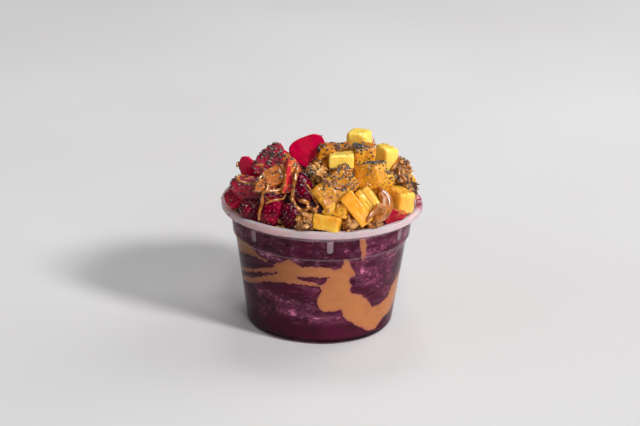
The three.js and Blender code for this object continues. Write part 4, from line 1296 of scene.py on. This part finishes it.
class PITAYA_OT_stage(Operator):
    """Builds the pale floor, the soft light and the camera"""

    bl_idname = "pitaya.stage"
    bl_label = "Stage"

    def execute(self, context):
        scene = context.scene
        near, far = -FLOOR_REACH, FLOOR_REACH
        corners = [(near, near, 0), (far, near, 0), (far, far, 0), (near, far, 0)]
        floor = new_object("studio_floor", corners, [(0, 1, 2, 3)])
        floor.data.materials.append(floor_material(scene.pitaya_colours))

        world = bpy.data.worlds.new("Soft studio")
        world.use_nodes = True
        sky = world.node_tree.nodes["Background"]
        sky.inputs["Color"].default_value = SKY_COLOUR
        sky.inputs["Strength"].default_value = SKY_STRENGTH
        scene.world = world

        key = bpy.data.lights.new("key_lamp", "SUN")
        key.angle = math.radians(KEY_SPREAD)
        key.energy = KEY_STRENGTH
        self.aim(scene, key, KEY_DIRECTION, 1)
        for lamp in LAMPS:
            box = bpy.data.lights.new(lamp.name, "AREA")
            box.size = lamp.side
            box.energy = lamp.watts
            placed = self.aim(scene, box, lamp.direction, lamp.distance)
            placed.visible_diffuse = lamp.lights
            placed.visible_glossy = lamp.shines
        scene.view_settings.view_transform = "Standard"
        self.camera(scene)
        return {"FINISHED"}

    def aim(self, scene, light, direction, distance):
        """Places a light at a distance from the heap, facing it."""
        lamp = bpy.data.objects.new(light.name, light)
        way = outward(*direction)
        lamp.location = HEAP_FOCUS + way * distance
        lamp.rotation_euler = way.to_track_quat("Z", "Y").to_euler()
        scene.collection.objects.link(lamp)
        return lamp

    def camera(self, scene):
        """The photograph's camera: its height angle, distance, lens and slight roll."""
        lens = bpy.data.cameras.new("camera")
        lens.lens = LENS
        lens.sensor_width = SENSOR_WIDTH
        camera = bpy.data.objects.new("camera", lens)
        back = outward(0, CAMERA_ELEVATION)
        camera.location = Vector(CAMERA_AIM) + back * CAMERA_DISTANCE
        look = (-back).to_track_quat("-Z", "Y").to_matrix()
        roll = Matrix.Rotation(math.radians(CAMERA_ROLL), 3, "Z")
        camera.rotation_euler = (look @ roll).to_euler()
        scene.collection.objects.link(camera)
        scene.camera = camera


class PITAYA_OT_tub(Operator):
    """Builds the clear tub with its rolled rim and stacking lugs"""

    bl_idname = "pitaya.tub"
    bl_label = "Tub"

    def execute(self, context):
        outside = self.outside()
        angles = self.column_angles()
        profile = [*outside, *self.inside(context.scene.pitaya_sizes.wall)]
        points, faces = lathe(profile, np.radians(angles))
        for row, (_, height) in enumerate(outside):
            if BAND_FOOT[1] <= height <= BAND_TOP[1]:
                self.raise_lugs(points, 1 + (row - 1) * len(angles), angles)
        tub = new_object("tub_clear", points, faces)
        tub.data.set_sharp_from_angle(angle=math.radians(SHARP_ANGLE))
        off_stain = np.abs(angles_of(points) - STAIN_ANGLE)
        keep(tub, stain=smoothstep(STAIN_REACH, STAIN_REACH / 3, off_stain))
        first, *others = self.plastics(context.scene.pitaya_colours)
        finish_piece(tub, first, "tub", "tub")
        for plastic in others:
            tub.data.materials.append(plastic)
        for face in tub.data.polygons:
            face.material_index = self.plastic_at(face.center)
        return {"FINISHED"}

    def outside(self):
        """Radii and heights from the middle of the foot, up the wall and over the rim."""
        slope = (BAND_TOP[0] - BAND_FOOT[0]) / (BAND_TOP[1] - BAND_FOOT[1])
        band = np.linspace(BAND_FOOT[1], BAND_TOP[1], BAND_ROWS)
        rim_foot = TUB_HEIGHT - RIM_DEPTH
        outer = RIM_RADIUS - RIM_CORNER
        inner = RIM_INNER_RADIUS + RIM_CORNER
        return [
            (0, FOOT_RECESS),
            (FOOT_INNER_RADIUS - FOOT_RECESS, FOOT_RECESS),
            *corner((FOOT_INNER_RADIUS, FOOT_RECESS), FOOT_RECESS, 180, 270, 4),
            *foot_curve(FOOT_OUTER_RADIUS, 0, *BODY_FOOT),
            *[tuple(row) for row in np.linspace(BODY_FOOT, BODY_TOP, BODY_ROWS)[1:]],
            *[(BAND_FOOT[0] + slope * (height - BAND_FOOT[1]), height) for height in band],
            (BAND_TOP[0] + RIM_CORNER / 2, rim_foot),
            *corner((outer, rim_foot + RIM_CORNER), RIM_CORNER, -90, 0),
            *corner((outer, TUB_HEIGHT - RIM_CORNER), RIM_CORNER, 0, 90),
            *corner((inner, TUB_HEIGHT - RIM_CORNER), RIM_CORNER, 90, 180),
        ]

    def inside(self, wall):
        """Radii and heights from the rim down the inside of the wall to the middle of the floor."""
        return [
            *[(inner_radius(height, wall), height) for height in INSIDE_ROWS],
            *foot_curve(FOOT_OUTER_RADIUS, FLOOR_HEIGHT, BODY_FOOT[0] - wall, BODY_FOOT[1])[::-1],
            (0, FLOOR_HEIGHT),
        ]

    def column_angles(self):
        """Degrees round the tub, closer together at the lugs."""
        step = 360 / LUG_COUNT
        close = np.linspace(-LUG_SPAN, LUG_SPAN, LUG_COLUMNS)
        wide = np.linspace(LUG_SPAN, step - LUG_SPAN, WALL_COLUMNS)[1:-1]
        one = np.concatenate([close, wide])
        return np.concatenate([LUG_FIRST_ANGLE + lug * step + one for lug in range(LUG_COUNT)])

    def raise_lugs(self, points, start, angles):
        """Pushes one row of points out where the lugs are."""
        for index, angle in enumerate(angles, start):
            x, y, z = points[index]
            grow = 1 + lug_relief(angle, z) / math.hypot(x, y)
            points[index] = (x * grow, y * grow, z)

    def plastics(self, colours):
        """The tub's plastics, in the order of CLEAR, MILKY, HAZY, FAINT and the foot's plastic with painted
        light.
        """
        return (
            tub_material("Clear polypropylene", colours.tub, clear=1.0, satin=0.08),
            tub_material(
                "Milky polypropylene", colours.rim, clear=0.12, satin=0.3, milk=0.8, juice=colours.juice
            ),
            tub_material("Hazy polypropylene", colours.tub, clear=0.8, satin=0.2),
            tub_material("Faintly hazy polypropylene", colours.tub, clear=0.9, satin=0.14),
            # A mauve paint on the clear foot stands in for the filling seen through it and its lit edge
            tub_material("Tinted polypropylene", colours.foot, clear=0.3, satin=0.3),
        )

    def plastic_at(self, middle):
        """Which plastic shows: milky on the thick rim, hazy on the lugs, painted light at the foot, else
        clear.
        """
        radius = math.hypot(middle.x, middle.y)
        if middle.z > BAND_TOP[1] and radius > MILK_INNER_RADIUS:
            return MILKY if middle.z > MILK_FOOT else HAZY
        angle = math.degrees(math.atan2(middle.x, -middle.y))
        if radius > BAND_FOOT[0] and lug_relief(angle, middle.z) > LUG_HAZE:
            return HAZY
        if middle.z < PAINTED_FOOT_TOP:
            return PAINTED_FOOT
        on_step = BODY_TOP[1] < middle.z < BAND_FOOT[1]
        return FAINT if on_step or middle.z > LUG_MIDDLE + LUG_HALF_HEIGHT else CLEAR


class PITAYA_OT_filling(Operator):
    """Builds the blended pitaya up to its level in the tub"""

    bl_idname = "pitaya.filling"
    bl_label = "Blended pitaya"

    def execute(self, context):
        wall = context.scene.pitaya_sizes.wall
        grow = context.scene.pitaya_sizes.fill_into_wall
        floor = FLOOR_HEIGHT - grow
        heights = np.linspace(BODY_FOOT[1], FILL_HEIGHT, FILL_ROWS)[1:]
        edge = inner_radius(FILL_HEIGHT, wall) - FILL_EDGE
        profile = [
            (0, floor),
            *foot_curve(FOOT_OUTER_RADIUS, floor, BODY_FOOT[0] - wall + grow, BODY_FOOT[1]),
            *[(inner_radius(height, wall) + grow, height) for height in heights],
            *[(radius, fill_top(radius)) for radius in np.linspace(edge, FILL_MIDDLE, FILL_RINGS)],
            (0, fill_top(0)),
        ]
        points, faces = lathe(profile, np.linspace(0, 2 * math.pi, FILL_COLUMNS, endpoint=False))
        surface = points[:, 2] > FILL_HEIGHT
        points[surface, 2] += relief(points[surface], FILL_RELIEF)
        filling = new_object("pitaya_blended", points, faces)
        keep(filling, patch=patch_strength(angles_of(points), points[:, 2]))
        finish_piece(filling, pitaya_material(context.scene.pitaya_colours), "pitaya", "pitaya_filling")
        return {"FINISHED"}


class PITAYA_OT_smears(Operator):
    """Builds the peanut butter that shows through the wall"""

    bl_idname = "pitaya.smears"
    bl_label = "Peanut butter smears"

    def execute(self, context):
        material = smear_material(context.scene.pitaya_colours)
        for node, outline, hole in SMEARS:
            smear = self.smear(node, outline, hole, context.scene.pitaya_sizes)
            finish_piece(smear, material, "peanut_butter", node)
        return {"FINISHED"}

    def smear(self, node, outline, hole, sizes):
        """A curved sheet that reaches a little past the outline, with each point's way into the butter."""
        flat = self.flat(outline)
        low = flat.min(axis=0) - SMEAR_MARGIN - SMEAR_CELL
        high = flat.max(axis=0) + SMEAR_MARGIN + SMEAR_CELL
        columns = np.arange(low[0], high[0], SMEAR_CELL)
        rows = np.arange(max(low[1], BODY_FOOT[1]), min(high[1], FILL_HEIGHT), SMEAR_CELL)
        grid = np.stack(np.meshgrid(columns, rows), axis=-1)
        within = self.inside_by(grid.reshape(-1, 2), flat)
        if hole:
            within = np.minimum(within, -self.inside_by(grid.reshape(-1, 2), self.flat(hole)))
        used = (within > -SMEAR_MARGIN).reshape(len(rows), len(columns))
        cells = used[:-1, :-1] & used[1:, :-1] & used[:-1, 1:] & used[1:, 1:]
        return self.sheet(node, grid, within, cells, sizes)

    def flat(self, outline):
        """A smooth closed outline, unrolled from the wall, in metres."""
        line = smooth_line(outline, SMEAR_STEPS, closed=True)
        return np.stack([np.radians(line[:, 0]) * BODY_TOP[0], line[:, 1]], axis=-1)

    def inside_by(self, points, line):
        """How far each point lies inside a closed line, in metres. Outside is negative."""
        after = np.roll(line, -1, axis=0)
        nearest = np.full(len(points), 1.0)
        crossings = np.zeros(len(points), int)
        for start, end in zip(line, after):
            along = end - start
            share = np.clip((points - start) @ along / max(along @ along, 1e-18), 0, 1)
            nearest = np.minimum(nearest, np.linalg.norm(points - start - share[:, None] * along, axis=1))
            spans = (points[:, 1] < start[1]) != (points[:, 1] < end[1])
            if along[1]:
                across = start[0] + (points[:, 1] - start[1]) / along[1] * along[0]
                crossings += spans & (points[:, 0] < across)
        return np.where(crossings % 2 == 1, nearest, -nearest)

    def sheet(self, node, grid, within, cells, sizes):
        """A closed sheet on the wall from the used cells of a grid. Its edge dives into the pitaya."""
        wide = grid.shape[1]
        row, column = np.nonzero(cells)
        first = row * wide + column
        corners = np.stack([first, first + 1, first + wide + 1, first + wide], axis=-1)
        used, order = np.unique(corners, return_inverse=True)
        quads = order.reshape(corners.shape)
        spots = grid.reshape(-1, 2)[used]
        angles = spots[:, 0] / BODY_TOP[0]
        dive = SMEAR_DIVE * smoothstep(*SMEAR_DIVE_RANGE, within[used])
        layers = []
        for reach in (sizes.smear_into_wall - dive, -sizes.smear_depth):
            radius = inner_radius(spots[:, 1], sizes.wall) + reach
            layer = [radius * np.sin(angles), -radius * np.cos(angles), spots[:, 1]]
            layers.append(np.stack(layer, axis=-1))
        faces = [*quads, *(quads[:, ::-1] + len(used)), *self.side_faces(quads, len(used))]
        sheet = new_object(node + "_smear", np.vstack(layers), faces)
        patch = patch_strength(np.degrees(angles), spots[:, 1])
        keep(sheet, cover=np.tile(within[used] / SMEAR_EDGE, 2), patch=np.tile(patch, 2))
        return sheet

    def side_faces(self, quads, count):
        """Faces between the two layers along every open edge."""
        edges = {}
        for quad in quads:
            for start, end in zip(quad, np.roll(quad, -1)):
                edges[(int(start), int(end))] = True
        open_edges = [(start, end) for start, end in edges if (end, start) not in edges]
        return [(end, start, start + count, end + count) for start, end in open_edges]


class PITAYA_OT_mango(Operator):
    """Builds the cubes of mango"""

    bl_idname = "pitaya.mango"
    bl_label = "Mango"

    def execute(self, context):
        material = mango_material(context.scene.pitaya_colours)
        for cube in CUBES:
            finish_piece(self.cube(cube), material, "mango", cube.node)
        return {"FINISHED"}

    def cube(self, cube):
        """A cube with rounded edges and straying corners, uneven where it is glazed."""
        points, faces = block_grid(CUBE_STEPS)
        powers = (np.abs(points) ** cube.square).sum(axis=1) ** (1 / cube.square)
        shaped = points / powers[:, None]
        for index, shift in enumerate(corner_wander(cube.number)):
            sides = np.array([1 if index >> axis & 1 else -1 for axis in range(3)])
            weight = ((1 + points * sides) / 2).prod(axis=1)
            shaped = shaped + weight[:, None] * shift
        shaped = shaped * np.array(cube.size) / 2
        piece = new_object(cube.node + FRUIT, shaped, faces)
        coarse = (CUBE_RELIEF[0] + GLAZE_RELIEF * cube.glaze, CUBE_RELIEF[1])
        push = relief(shaped, coarse, cube.number) + relief(shaped, CUBE_GRAIN, cube.number + 0.5)
        if cube.cuts:
            scores = np.abs(np.cos(points[:, 0] * math.pi * cube.cuts / 2)) ** SCORE_SHARPNESS
            push -= SCORE_DEPTH * scores * (points[:, 2] > SCORE_FOOT)
        set_points(piece, shaped + normals_of(piece) * push[:, None])
        piece.matrix_world = Matrix.Translation(cube.at) @ turned(cube.turn)
        keep(piece, orange=cube.orange, glaze=cube.glaze + MANGO_GLAZE_UP * up_share(piece, cube.turn))
        return piece


class PITAYA_OT_strawberry(Operator):
    """Builds the cut strawberries and the achenes on their skin"""

    bl_idname = "pitaya.strawberry"
    bl_label = "Strawberry"

    def execute(self, context):
        colours = context.scene.pitaya_colours
        material = strawberry_material(colours)
        achenes = Gathered()
        ball, ball_faces = ball_mesh(1)
        for berry in BERRIES:
            pits, normals = self.pits(berry)
            piece = self.berry(berry, pits, context.scene.pitaya_sizes.berry_voxel)
            finish_piece(piece, material, "strawberry", berry.node)
            for pit, normal in zip(pits, normals):
                turn = np.array(piece.matrix_world.to_3x3() @ frame_on(normal, (0, 0, 1)))
                spot = np.array(piece.matrix_world @ Vector(pit - normal * ACHENE_SINK))
                achenes.add((ball * ACHENE_SIZE) @ turn.T + spot, ball_faces)
        points, faces, _ = achenes.joined()
        made = new_object("strawberry_achenes", points, faces)
        finish_piece(made, achene_material(colours), "strawberry")
        return {"FINISHED"}

    def profile(self, berry):
        """Radii and heights of a whole berry, from its leaf end to its tip."""
        line = smooth_line(BERRY_PROFILE, BERRY_STEPS)
        return [(max(0, share) * berry.width / 2, (rise - 0.5) * berry.length) for share, rise in line]

    def cut(self, points, berry):
        """Presses everything beyond a cut on to the cut's plane, then sets the piece's middle."""
        cut = np.array(points, float)
        quarter = berry.width / 4
        if berry.cut == "slice":
            cut[:, 1] = np.clip(cut[:, 1], -SLICE_THICKNESS / 2, SLICE_THICKNESS / 2)
            return cut
        cut[:, 1] = np.maximum(cut[:, 1], 0)
        if berry.cut == "quarter":
            cut[:, 0] = np.maximum(cut[:, 0], 0)
            return cut - (quarter, quarter, 0)
        return cut - (0, quarter, 0)

    def axis_shift(self, berry):
        """How far the berry's own axis lies from the middle of the cut piece."""
        return self.cut(np.zeros((1, 3)), berry)[0]

    def flesh(self, points, berry):
        """Depth of each point behind the nearest cut, in metres."""
        quarter = berry.width / 4
        if berry.cut == "slice":
            return SLICE_THICKNESS / 2 - np.abs(points[:, 1])
        if berry.cut == "quarter":
            return np.minimum(points[:, 0], points[:, 1]) + quarter
        return points[:, 1] + quarter

    def pits(self, berry):
        """Places of the achenes on the skin, evenly spread, and the way out of the skin there."""
        line = np.array(self.profile(berry))
        rings = np.linalg.norm(np.diff(line, axis=0), axis=1) * line[1:, 0]
        run = np.concatenate([[0], np.cumsum(rings)])
        slope = np.gradient(line, axis=0)
        places, normals = [], []
        for i in range(ACHENE_COUNT):
            at = (i + 0.5) / ACHENE_COUNT * run[-1]
            radius, height = np.interp(at, run, line[:, 0]), np.interp(at, run, line[:, 1])
            way = Vector((np.interp(at, run, slope[:, 1]), -np.interp(at, run, slope[:, 0]))).normalized()
            angle = i * math.pi * (3 - math.sqrt(5)) + berry.number
            places.append((radius * math.cos(angle), radius * math.sin(angle), height))
            normals.append((way.x * math.cos(angle), way.x * math.sin(angle), way.y))
        moved = np.array(places) + self.axis_shift(berry)
        on_skin = self.flesh(moved, berry) > ACHENE_MARGIN
        return moved[on_skin], np.array(normals)[on_skin]

    def berry(self, berry, pits, voxel):
        """A cut berry with a pit round each achene, and what its skin and flesh look like."""
        profile = self.profile(berry)
        closed = [(0, profile[0][1]), *profile[1:-1], (0, profile[-1][1])]
        points, faces = lathe(closed, np.radians(np.arange(0, 360, BERRY_COLUMN)))
        piece = new_object(berry.node + FRUIT, self.cut(points, berry), faces)
        remeshed(piece, voxel, BERRY_ROUNDS)
        spots = points_of(piece)
        flesh = smoothstep(*FLESH_EDGE, self.flesh(spots, berry))
        push = relief(spots, BERRY_RELIEF, berry.number) * (1 - FLESH_CALM * flesh)
        if len(pits):
            gap = np.linalg.norm(spots[:, None, :] - pits[None, :, :], axis=2).min(axis=1)
            push -= PIT_DEPTH * np.exp(-((gap / PIT_RADIUS) ** 2)) * (1 - flesh)
        set_points(piece, spots + normals_of(piece) * push[:, None])
        piece.matrix_world = Matrix.Translation(berry.at) @ turned(berry.turn)
        axis = spots - self.axis_shift(berry)
        off_axis = np.hypot(axis[:, 0], axis[:, 1])
        side = np.sign(axis[:, 0] + 1e-9)
        up = up_share(piece, berry.turn)
        keep(
            piece,
            flesh=flesh,
            core=off_axis / (berry.width / 2),
            fan=np.arctan2(axis[:, 2] + FAN_DROP * berry.length, off_axis * side),
            dark=berry.dark,
            dust=berry.dust * (DUST_LEVEL + DUST_UP * up),
            pale=berry.pale,
            glaze=berry.glaze + BERRY_GLAZE_UP * up,
        )
        return piece


class PITAYA_OT_granola(Operator):
    """Builds the granola heap: a core with oat flakes and crumbs on it"""

    bl_idname = "pitaya.granola"
    bl_label = "Granola"

    def execute(self, context):
        sizes, colours = context.scene.pitaya_sizes, context.scene.pitaya_colours
        core = self.core()
        keep(core, tone=CORE_TONE, glaze=CORE_GLAZE)
        # The core's near-black colour paints the shade that shows between the fruit
        crust_and_gap_shade = granola_material(
            colours, "Granola core", colours.crust_and_gap_shade, colours.pitaya, bump_depth=0.0012, shine=0.12
        )
        finish_piece(core, crust_and_gap_shade, "granola", "granola")
        random = np.random.default_rng(GRANOLA_CHANCE)
        heap, fruit = Surface("granola_core"), Surface(FRUIT)
        crumb_points, crumb_faces = ball_mesh(2)
        oat_faces = flake_faces()

        def flake(size):
            return self.flake(size, random), oat_faces

        def crumb(size):
            return self.crumb(crumb_points, size, random), crumb_faces

        kinds = (
            ("flakes", sizes.flakes, flake, sizes.flake_length, FLAKE_SUNK),
            ("crumbs", sizes.crumbs, crumb, sizes.crumb_radius, CRUMB_SUNK),
        )
        for kind, tries, make, size, sunk in kinds:
            loose = self.scatter(tries, random, heap, fruit, make, size, sunk)
            points, faces, tones = loose.joined()
            made = new_object("granola_" + kind, points, faces)
            keep(made, tone=tones, glaze=relief(points, LOOSE_GLAZE) + LOOSE_GLAZE_LEVEL)
            oats = granola_material(
                colours, "Granola " + kind, colours.oat, colours.toast, bump_depth=0.0005, shine=0.5
            )
            finish_piece(made, oats, "granola")
        return {"FINISHED"}

    def core(self):
        """The leaning dome over the filling, rough as crumbs."""
        radii = CORE_RADIUS * np.sin(np.radians(np.linspace(90, CORE_LAST_RING, CORE_RINGS)))
        share = (1 - (radii / CORE_RADIUS) ** CORE_FLATNESS) ** CORE_FULLNESS
        rim = CORE_RADIUS * CORE_RIM
        profile = [
            *[(radius, fill_top(radius) - CORE_SINK) for radius in (0, rim * 0.5, rim)],
            *[(radius, fill_top(0) + CORE_RISE * s) for radius, s in zip(radii, share)],
            (0, fill_top(0) + CORE_RISE),
        ]
        points, faces = lathe(profile, np.radians(np.arange(0, 360, CORE_COLUMN)))
        lift = np.maximum(0, points[:, 2] - fill_top(0))
        points[:, 1] -= CORE_LEAN * lift
        core = new_object("granola_core", points, faces)
        rough = relief(points, CORE_RELIEF) + relief(points, CORE_GRAIN, 2)
        rough *= smoothstep(0.0, CORE_SMOOTH_FOOT, lift)
        set_points(core, points + normals_of(core) * rough[:, None])
        return core

    def scatter(self, tries, random, heap, fruit, make, size, sunk):
        """Lays things of one kind over the heap and its lumps, clear of the fruit."""
        loose = Gathered()
        for place, normal, toasted in self.places(tries, random, heap):
            grown = size * random.uniform(*LOOSE_SIZES)
            stand = fruit.gap(place + normal * grown * LOOSE_STAND)
            spin = random.uniform(0, 2 * math.pi)
            lean = Vector(random.normal(0, LOOSE_LEAN, 3))
            tone = random.uniform(0, toasted)
            if stand < grown * FRUIT_GAP:
                continue
            axes = frame_on(normal + lean, (math.cos(spin), math.sin(spin), LOOSE_TILT))
            body, body_faces = make(grown)
            out = np.array(place + normal * grown * (LOOSE_STAND - LOOSE_STAND * sunk))
            loose.add(body @ np.array(axes).T + out, body_faces, tone)
        return loose

    def places(self, tries, random, heap):
        """Places on the dome, spread over its upper side, then places on the lumps."""
        for _ in range(tries):
            up = math.degrees(math.asin(random.uniform(LOWEST_RISE, 1)))
            place, normal, _ = heap.first_hit(outward(random.uniform(0, 360), up))
            if place is not None:
                yield place, normal, 1
        for middle, radius, toasted in GRANOLA_LUMPS:
            for _ in range(tries // LUMP_PART):
                way = Vector(random.normal(0, 1, 3)).normalized()
                yield Vector(middle) + way * radius * random.uniform(*LUMP_DEPTHS), way, toasted

    def flake(self, size, random):
        """An oat flake: a thin oval with a crease and a curl."""
        turns = np.linspace(0, 2 * math.pi, FLAKE_POINTS, endpoint=False)
        wobble = 1 + random.uniform(*FLAKE_WOBBLE, FLAKE_POINTS)
        oval = np.stack([FLAKE_HALF_WIDTH * np.cos(turns), 0.5 * np.sin(turns)], axis=-1) * wobble[:, None]
        flat = np.vstack([np.zeros((1, 2)), *[oval * share for share in FLAKE_RINGS]])
        curl = random.uniform(*FLAKE_CURL) * flat[:, 1] ** 2 + random.uniform(*FLAKE_CUP) * flat[:, 0] ** 2
        crease = FLAKE_CREASE_DEPTH * np.exp(-((flat[:, 0] / FLAKE_CREASE_WIDTH) ** 2))
        thick = np.repeat(FLAKE_THICKNESS, (1, FLAKE_POINTS, FLAKE_POINTS, FLAKE_POINTS))
        top = np.column_stack([flat, curl + thick - crease])
        bottom = np.column_stack([flat, curl - thick])[:-FLAKE_POINTS]
        return np.vstack([top, bottom]) * size

    def crumb(self, ball, size, random):
        """A rough crumb of toasted oats."""
        shape = ball * random.uniform(*CRUMB_STRETCH, 3)
        return shape * (1 + random.uniform(-CRUMB_ROUGH, CRUMB_ROUGH, (len(shape), 1))) * size


class PITAYA_OT_sauce(Operator):
    """Drapes the peanut butter drizzle over the heap"""

    bl_idname = "pitaya.sauce"
    bl_label = "Drizzle"

    def execute(self, context):
        heap = Surface(FRUIT, "granola_")
        random = np.random.default_rng(DRIZZLE_CHANCE)
        ball, ball_faces = ball_mesh(2)
        beads = Gathered()
        for radius, path in STRANDS:
            for spot, size in self.strand(heap, radius, path, random):
                beads.add(ball * size + np.array(spot), ball_faces)
        for fold in POUR:
            for *spot, size in smooth_line(fold, POUR_STEPS):
                beads.add(ball * size + np.array(spot), ball_faces)
        points, faces, _ = beads.joined()
        sauce = new_object("peanut_butter_drizzle", points, faces)
        remeshed(sauce, context.scene.pitaya_sizes.sauce_voxel, DRIZZLE_ROUNDS)
        finish_piece(sauce, sauce_material(context.scene.pitaya_colours), "peanut_butter")
        return {"FINISHED"}

    def strand(self, heap, radius, path, random):
        """Places and sizes of close beads along a strand that lies on the heap and spans small gaps."""
        ways = smooth_line([outward(*step) for step in path], STRAND_STEPS)
        ways = ways / np.linalg.norm(ways, axis=1)[:, None]
        reach = []
        for way in ways:
            place, _, _ = heap.first_hit(Vector(way))
            reach.append(MISSED_REACH if place is None else (place - HEAP_FOCUS).length)
        reach = np.array(reach)
        closed = windowed(windowed(reach, STRAND_SPAN, np.max), STRAND_SPAN, np.min)
        eased = windowed((closed + reach) / 2, STRAND_EASE, np.mean)
        wave = random.uniform(0, STRAND_WAVE)
        for i, (way, far) in enumerate(zip(ways, eased)):
            swell = sum((size * math.sin(i * pace + wave) for size, pace in STRAND_SWELLS), 1)
            yield HEAP_FOCUS + Vector(way) * (far + STRAND_LIFT * radius), radius * swell


class PITAYA_OT_seeds(Operator):
    """Scatters the chia seeds over the heap"""

    bl_idname = "pitaya.seeds"
    bl_label = "Chia seeds"

    def execute(self, context):
        heap = Surface(FRUIT, "granola_", "peanut_butter_drizzle")
        random = np.random.default_rng(SEED_CHANCE)
        ball, ball_faces = ball_mesh(2)
        shape = ball * np.array(SEED_SHARES) * context.scene.pitaya_sizes.seed_length
        seeds = Gathered()
        for around, up, spread, tries in SEED_PATCHES:
            for _ in range(tries):
                way = outward(around, up) + Vector(random.normal(0, math.radians(spread), 3))
                place, normal, owner = heap.first_hit(way.normalized())
                spin, tone, size = (random.uniform(*ends) for ends in SEED_RANGES)
                if place is None or place.z < SEED_LOWEST:
                    continue
                if owner[:-len(FRUIT)] in BARE_FRUIT and tone > BARE_SHARE:
                    continue
                lift = SEED_LIFT + SEED_LIFT_SPREAD * random.uniform(0, 1) ** 3
                axes = np.array(frame_on(normal, (math.cos(spin), math.sin(spin), SEED_TILT)))
                seeds.add(shape * size @ axes.T + np.array(place + normal * lift), ball_faces, tone)
        for around, height in RIM_SEEDS:
            way = outward(around, 0)
            axes = np.array(frame_on(way, RIM_SEED_HINT))
            spot = np.array(way) * RIM_RADIUS + (0, 0, height)
            seeds.add(shape @ axes.T + spot, ball_faces, RIM_SEED_TONE)
        points, faces, tones = seeds.joined()
        made = new_object("chia_seeds", points, faces)
        keep(made, tone=tones)
        finish_piece(made, seed_material(context.scene.pitaya_colours), "granola")
        return {"FINISHED"}


OPERATORS = (
    PITAYA_OT_stage,
    PITAYA_OT_tub,
    PITAYA_OT_filling,
    PITAYA_OT_smears,
    PITAYA_OT_mango,
    PITAYA_OT_strawberry,
    PITAYA_OT_granola,
    PITAYA_OT_sauce,
    PITAYA_OT_seeds,
)


class PITAYA_PT_panel(Panel):
    """Lists the steps, sizes and colours of the pitaya bowl"""

    bl_idname = "PITAYA_PT_panel"
    bl_label = "Pitaya bowl"
    bl_space_type = "VIEW_3D"
    bl_region_type = "UI"
    bl_category = "Pitaya bowl"

    def draw(self, context):
        for operator in OPERATORS:
            self.layout.operator(operator.bl_idname)
        for group in (context.scene.pitaya_sizes, context.scene.pitaya_colours):
            box = self.layout.box()
            for name in group.__annotations__:
                box.prop(group, name)


CLASSES = (PitayaBowlSizes, PitayaBowlColours, *OPERATORS, PITAYA_PT_panel)


def register():
    for kind in CLASSES:
        bpy.utils.register_class(kind)
    bpy.types.Scene.pitaya_sizes = PointerProperty(type=PitayaBowlSizes)
    bpy.types.Scene.pitaya_colours = PointerProperty(type=PitayaBowlColours)


def unregister():
    del bpy.types.Scene.pitaya_colours
    del bpy.types.Scene.pitaya_sizes
    for kind in reversed(CLASSES):
        bpy.utils.unregister_class(kind)


def main():
    register()
    bpy.ops.pitaya.stage()
    bpy.ops.pitaya.tub()
    bpy.ops.pitaya.filling()
    bpy.ops.pitaya.smears()
    bpy.ops.pitaya.mango()
    bpy.ops.pitaya.strawberry()
    bpy.ops.pitaya.granola()
    bpy.ops.pitaya.sauce()
    bpy.ops.pitaya.seeds()


if __name__ == "__main__":
    main()
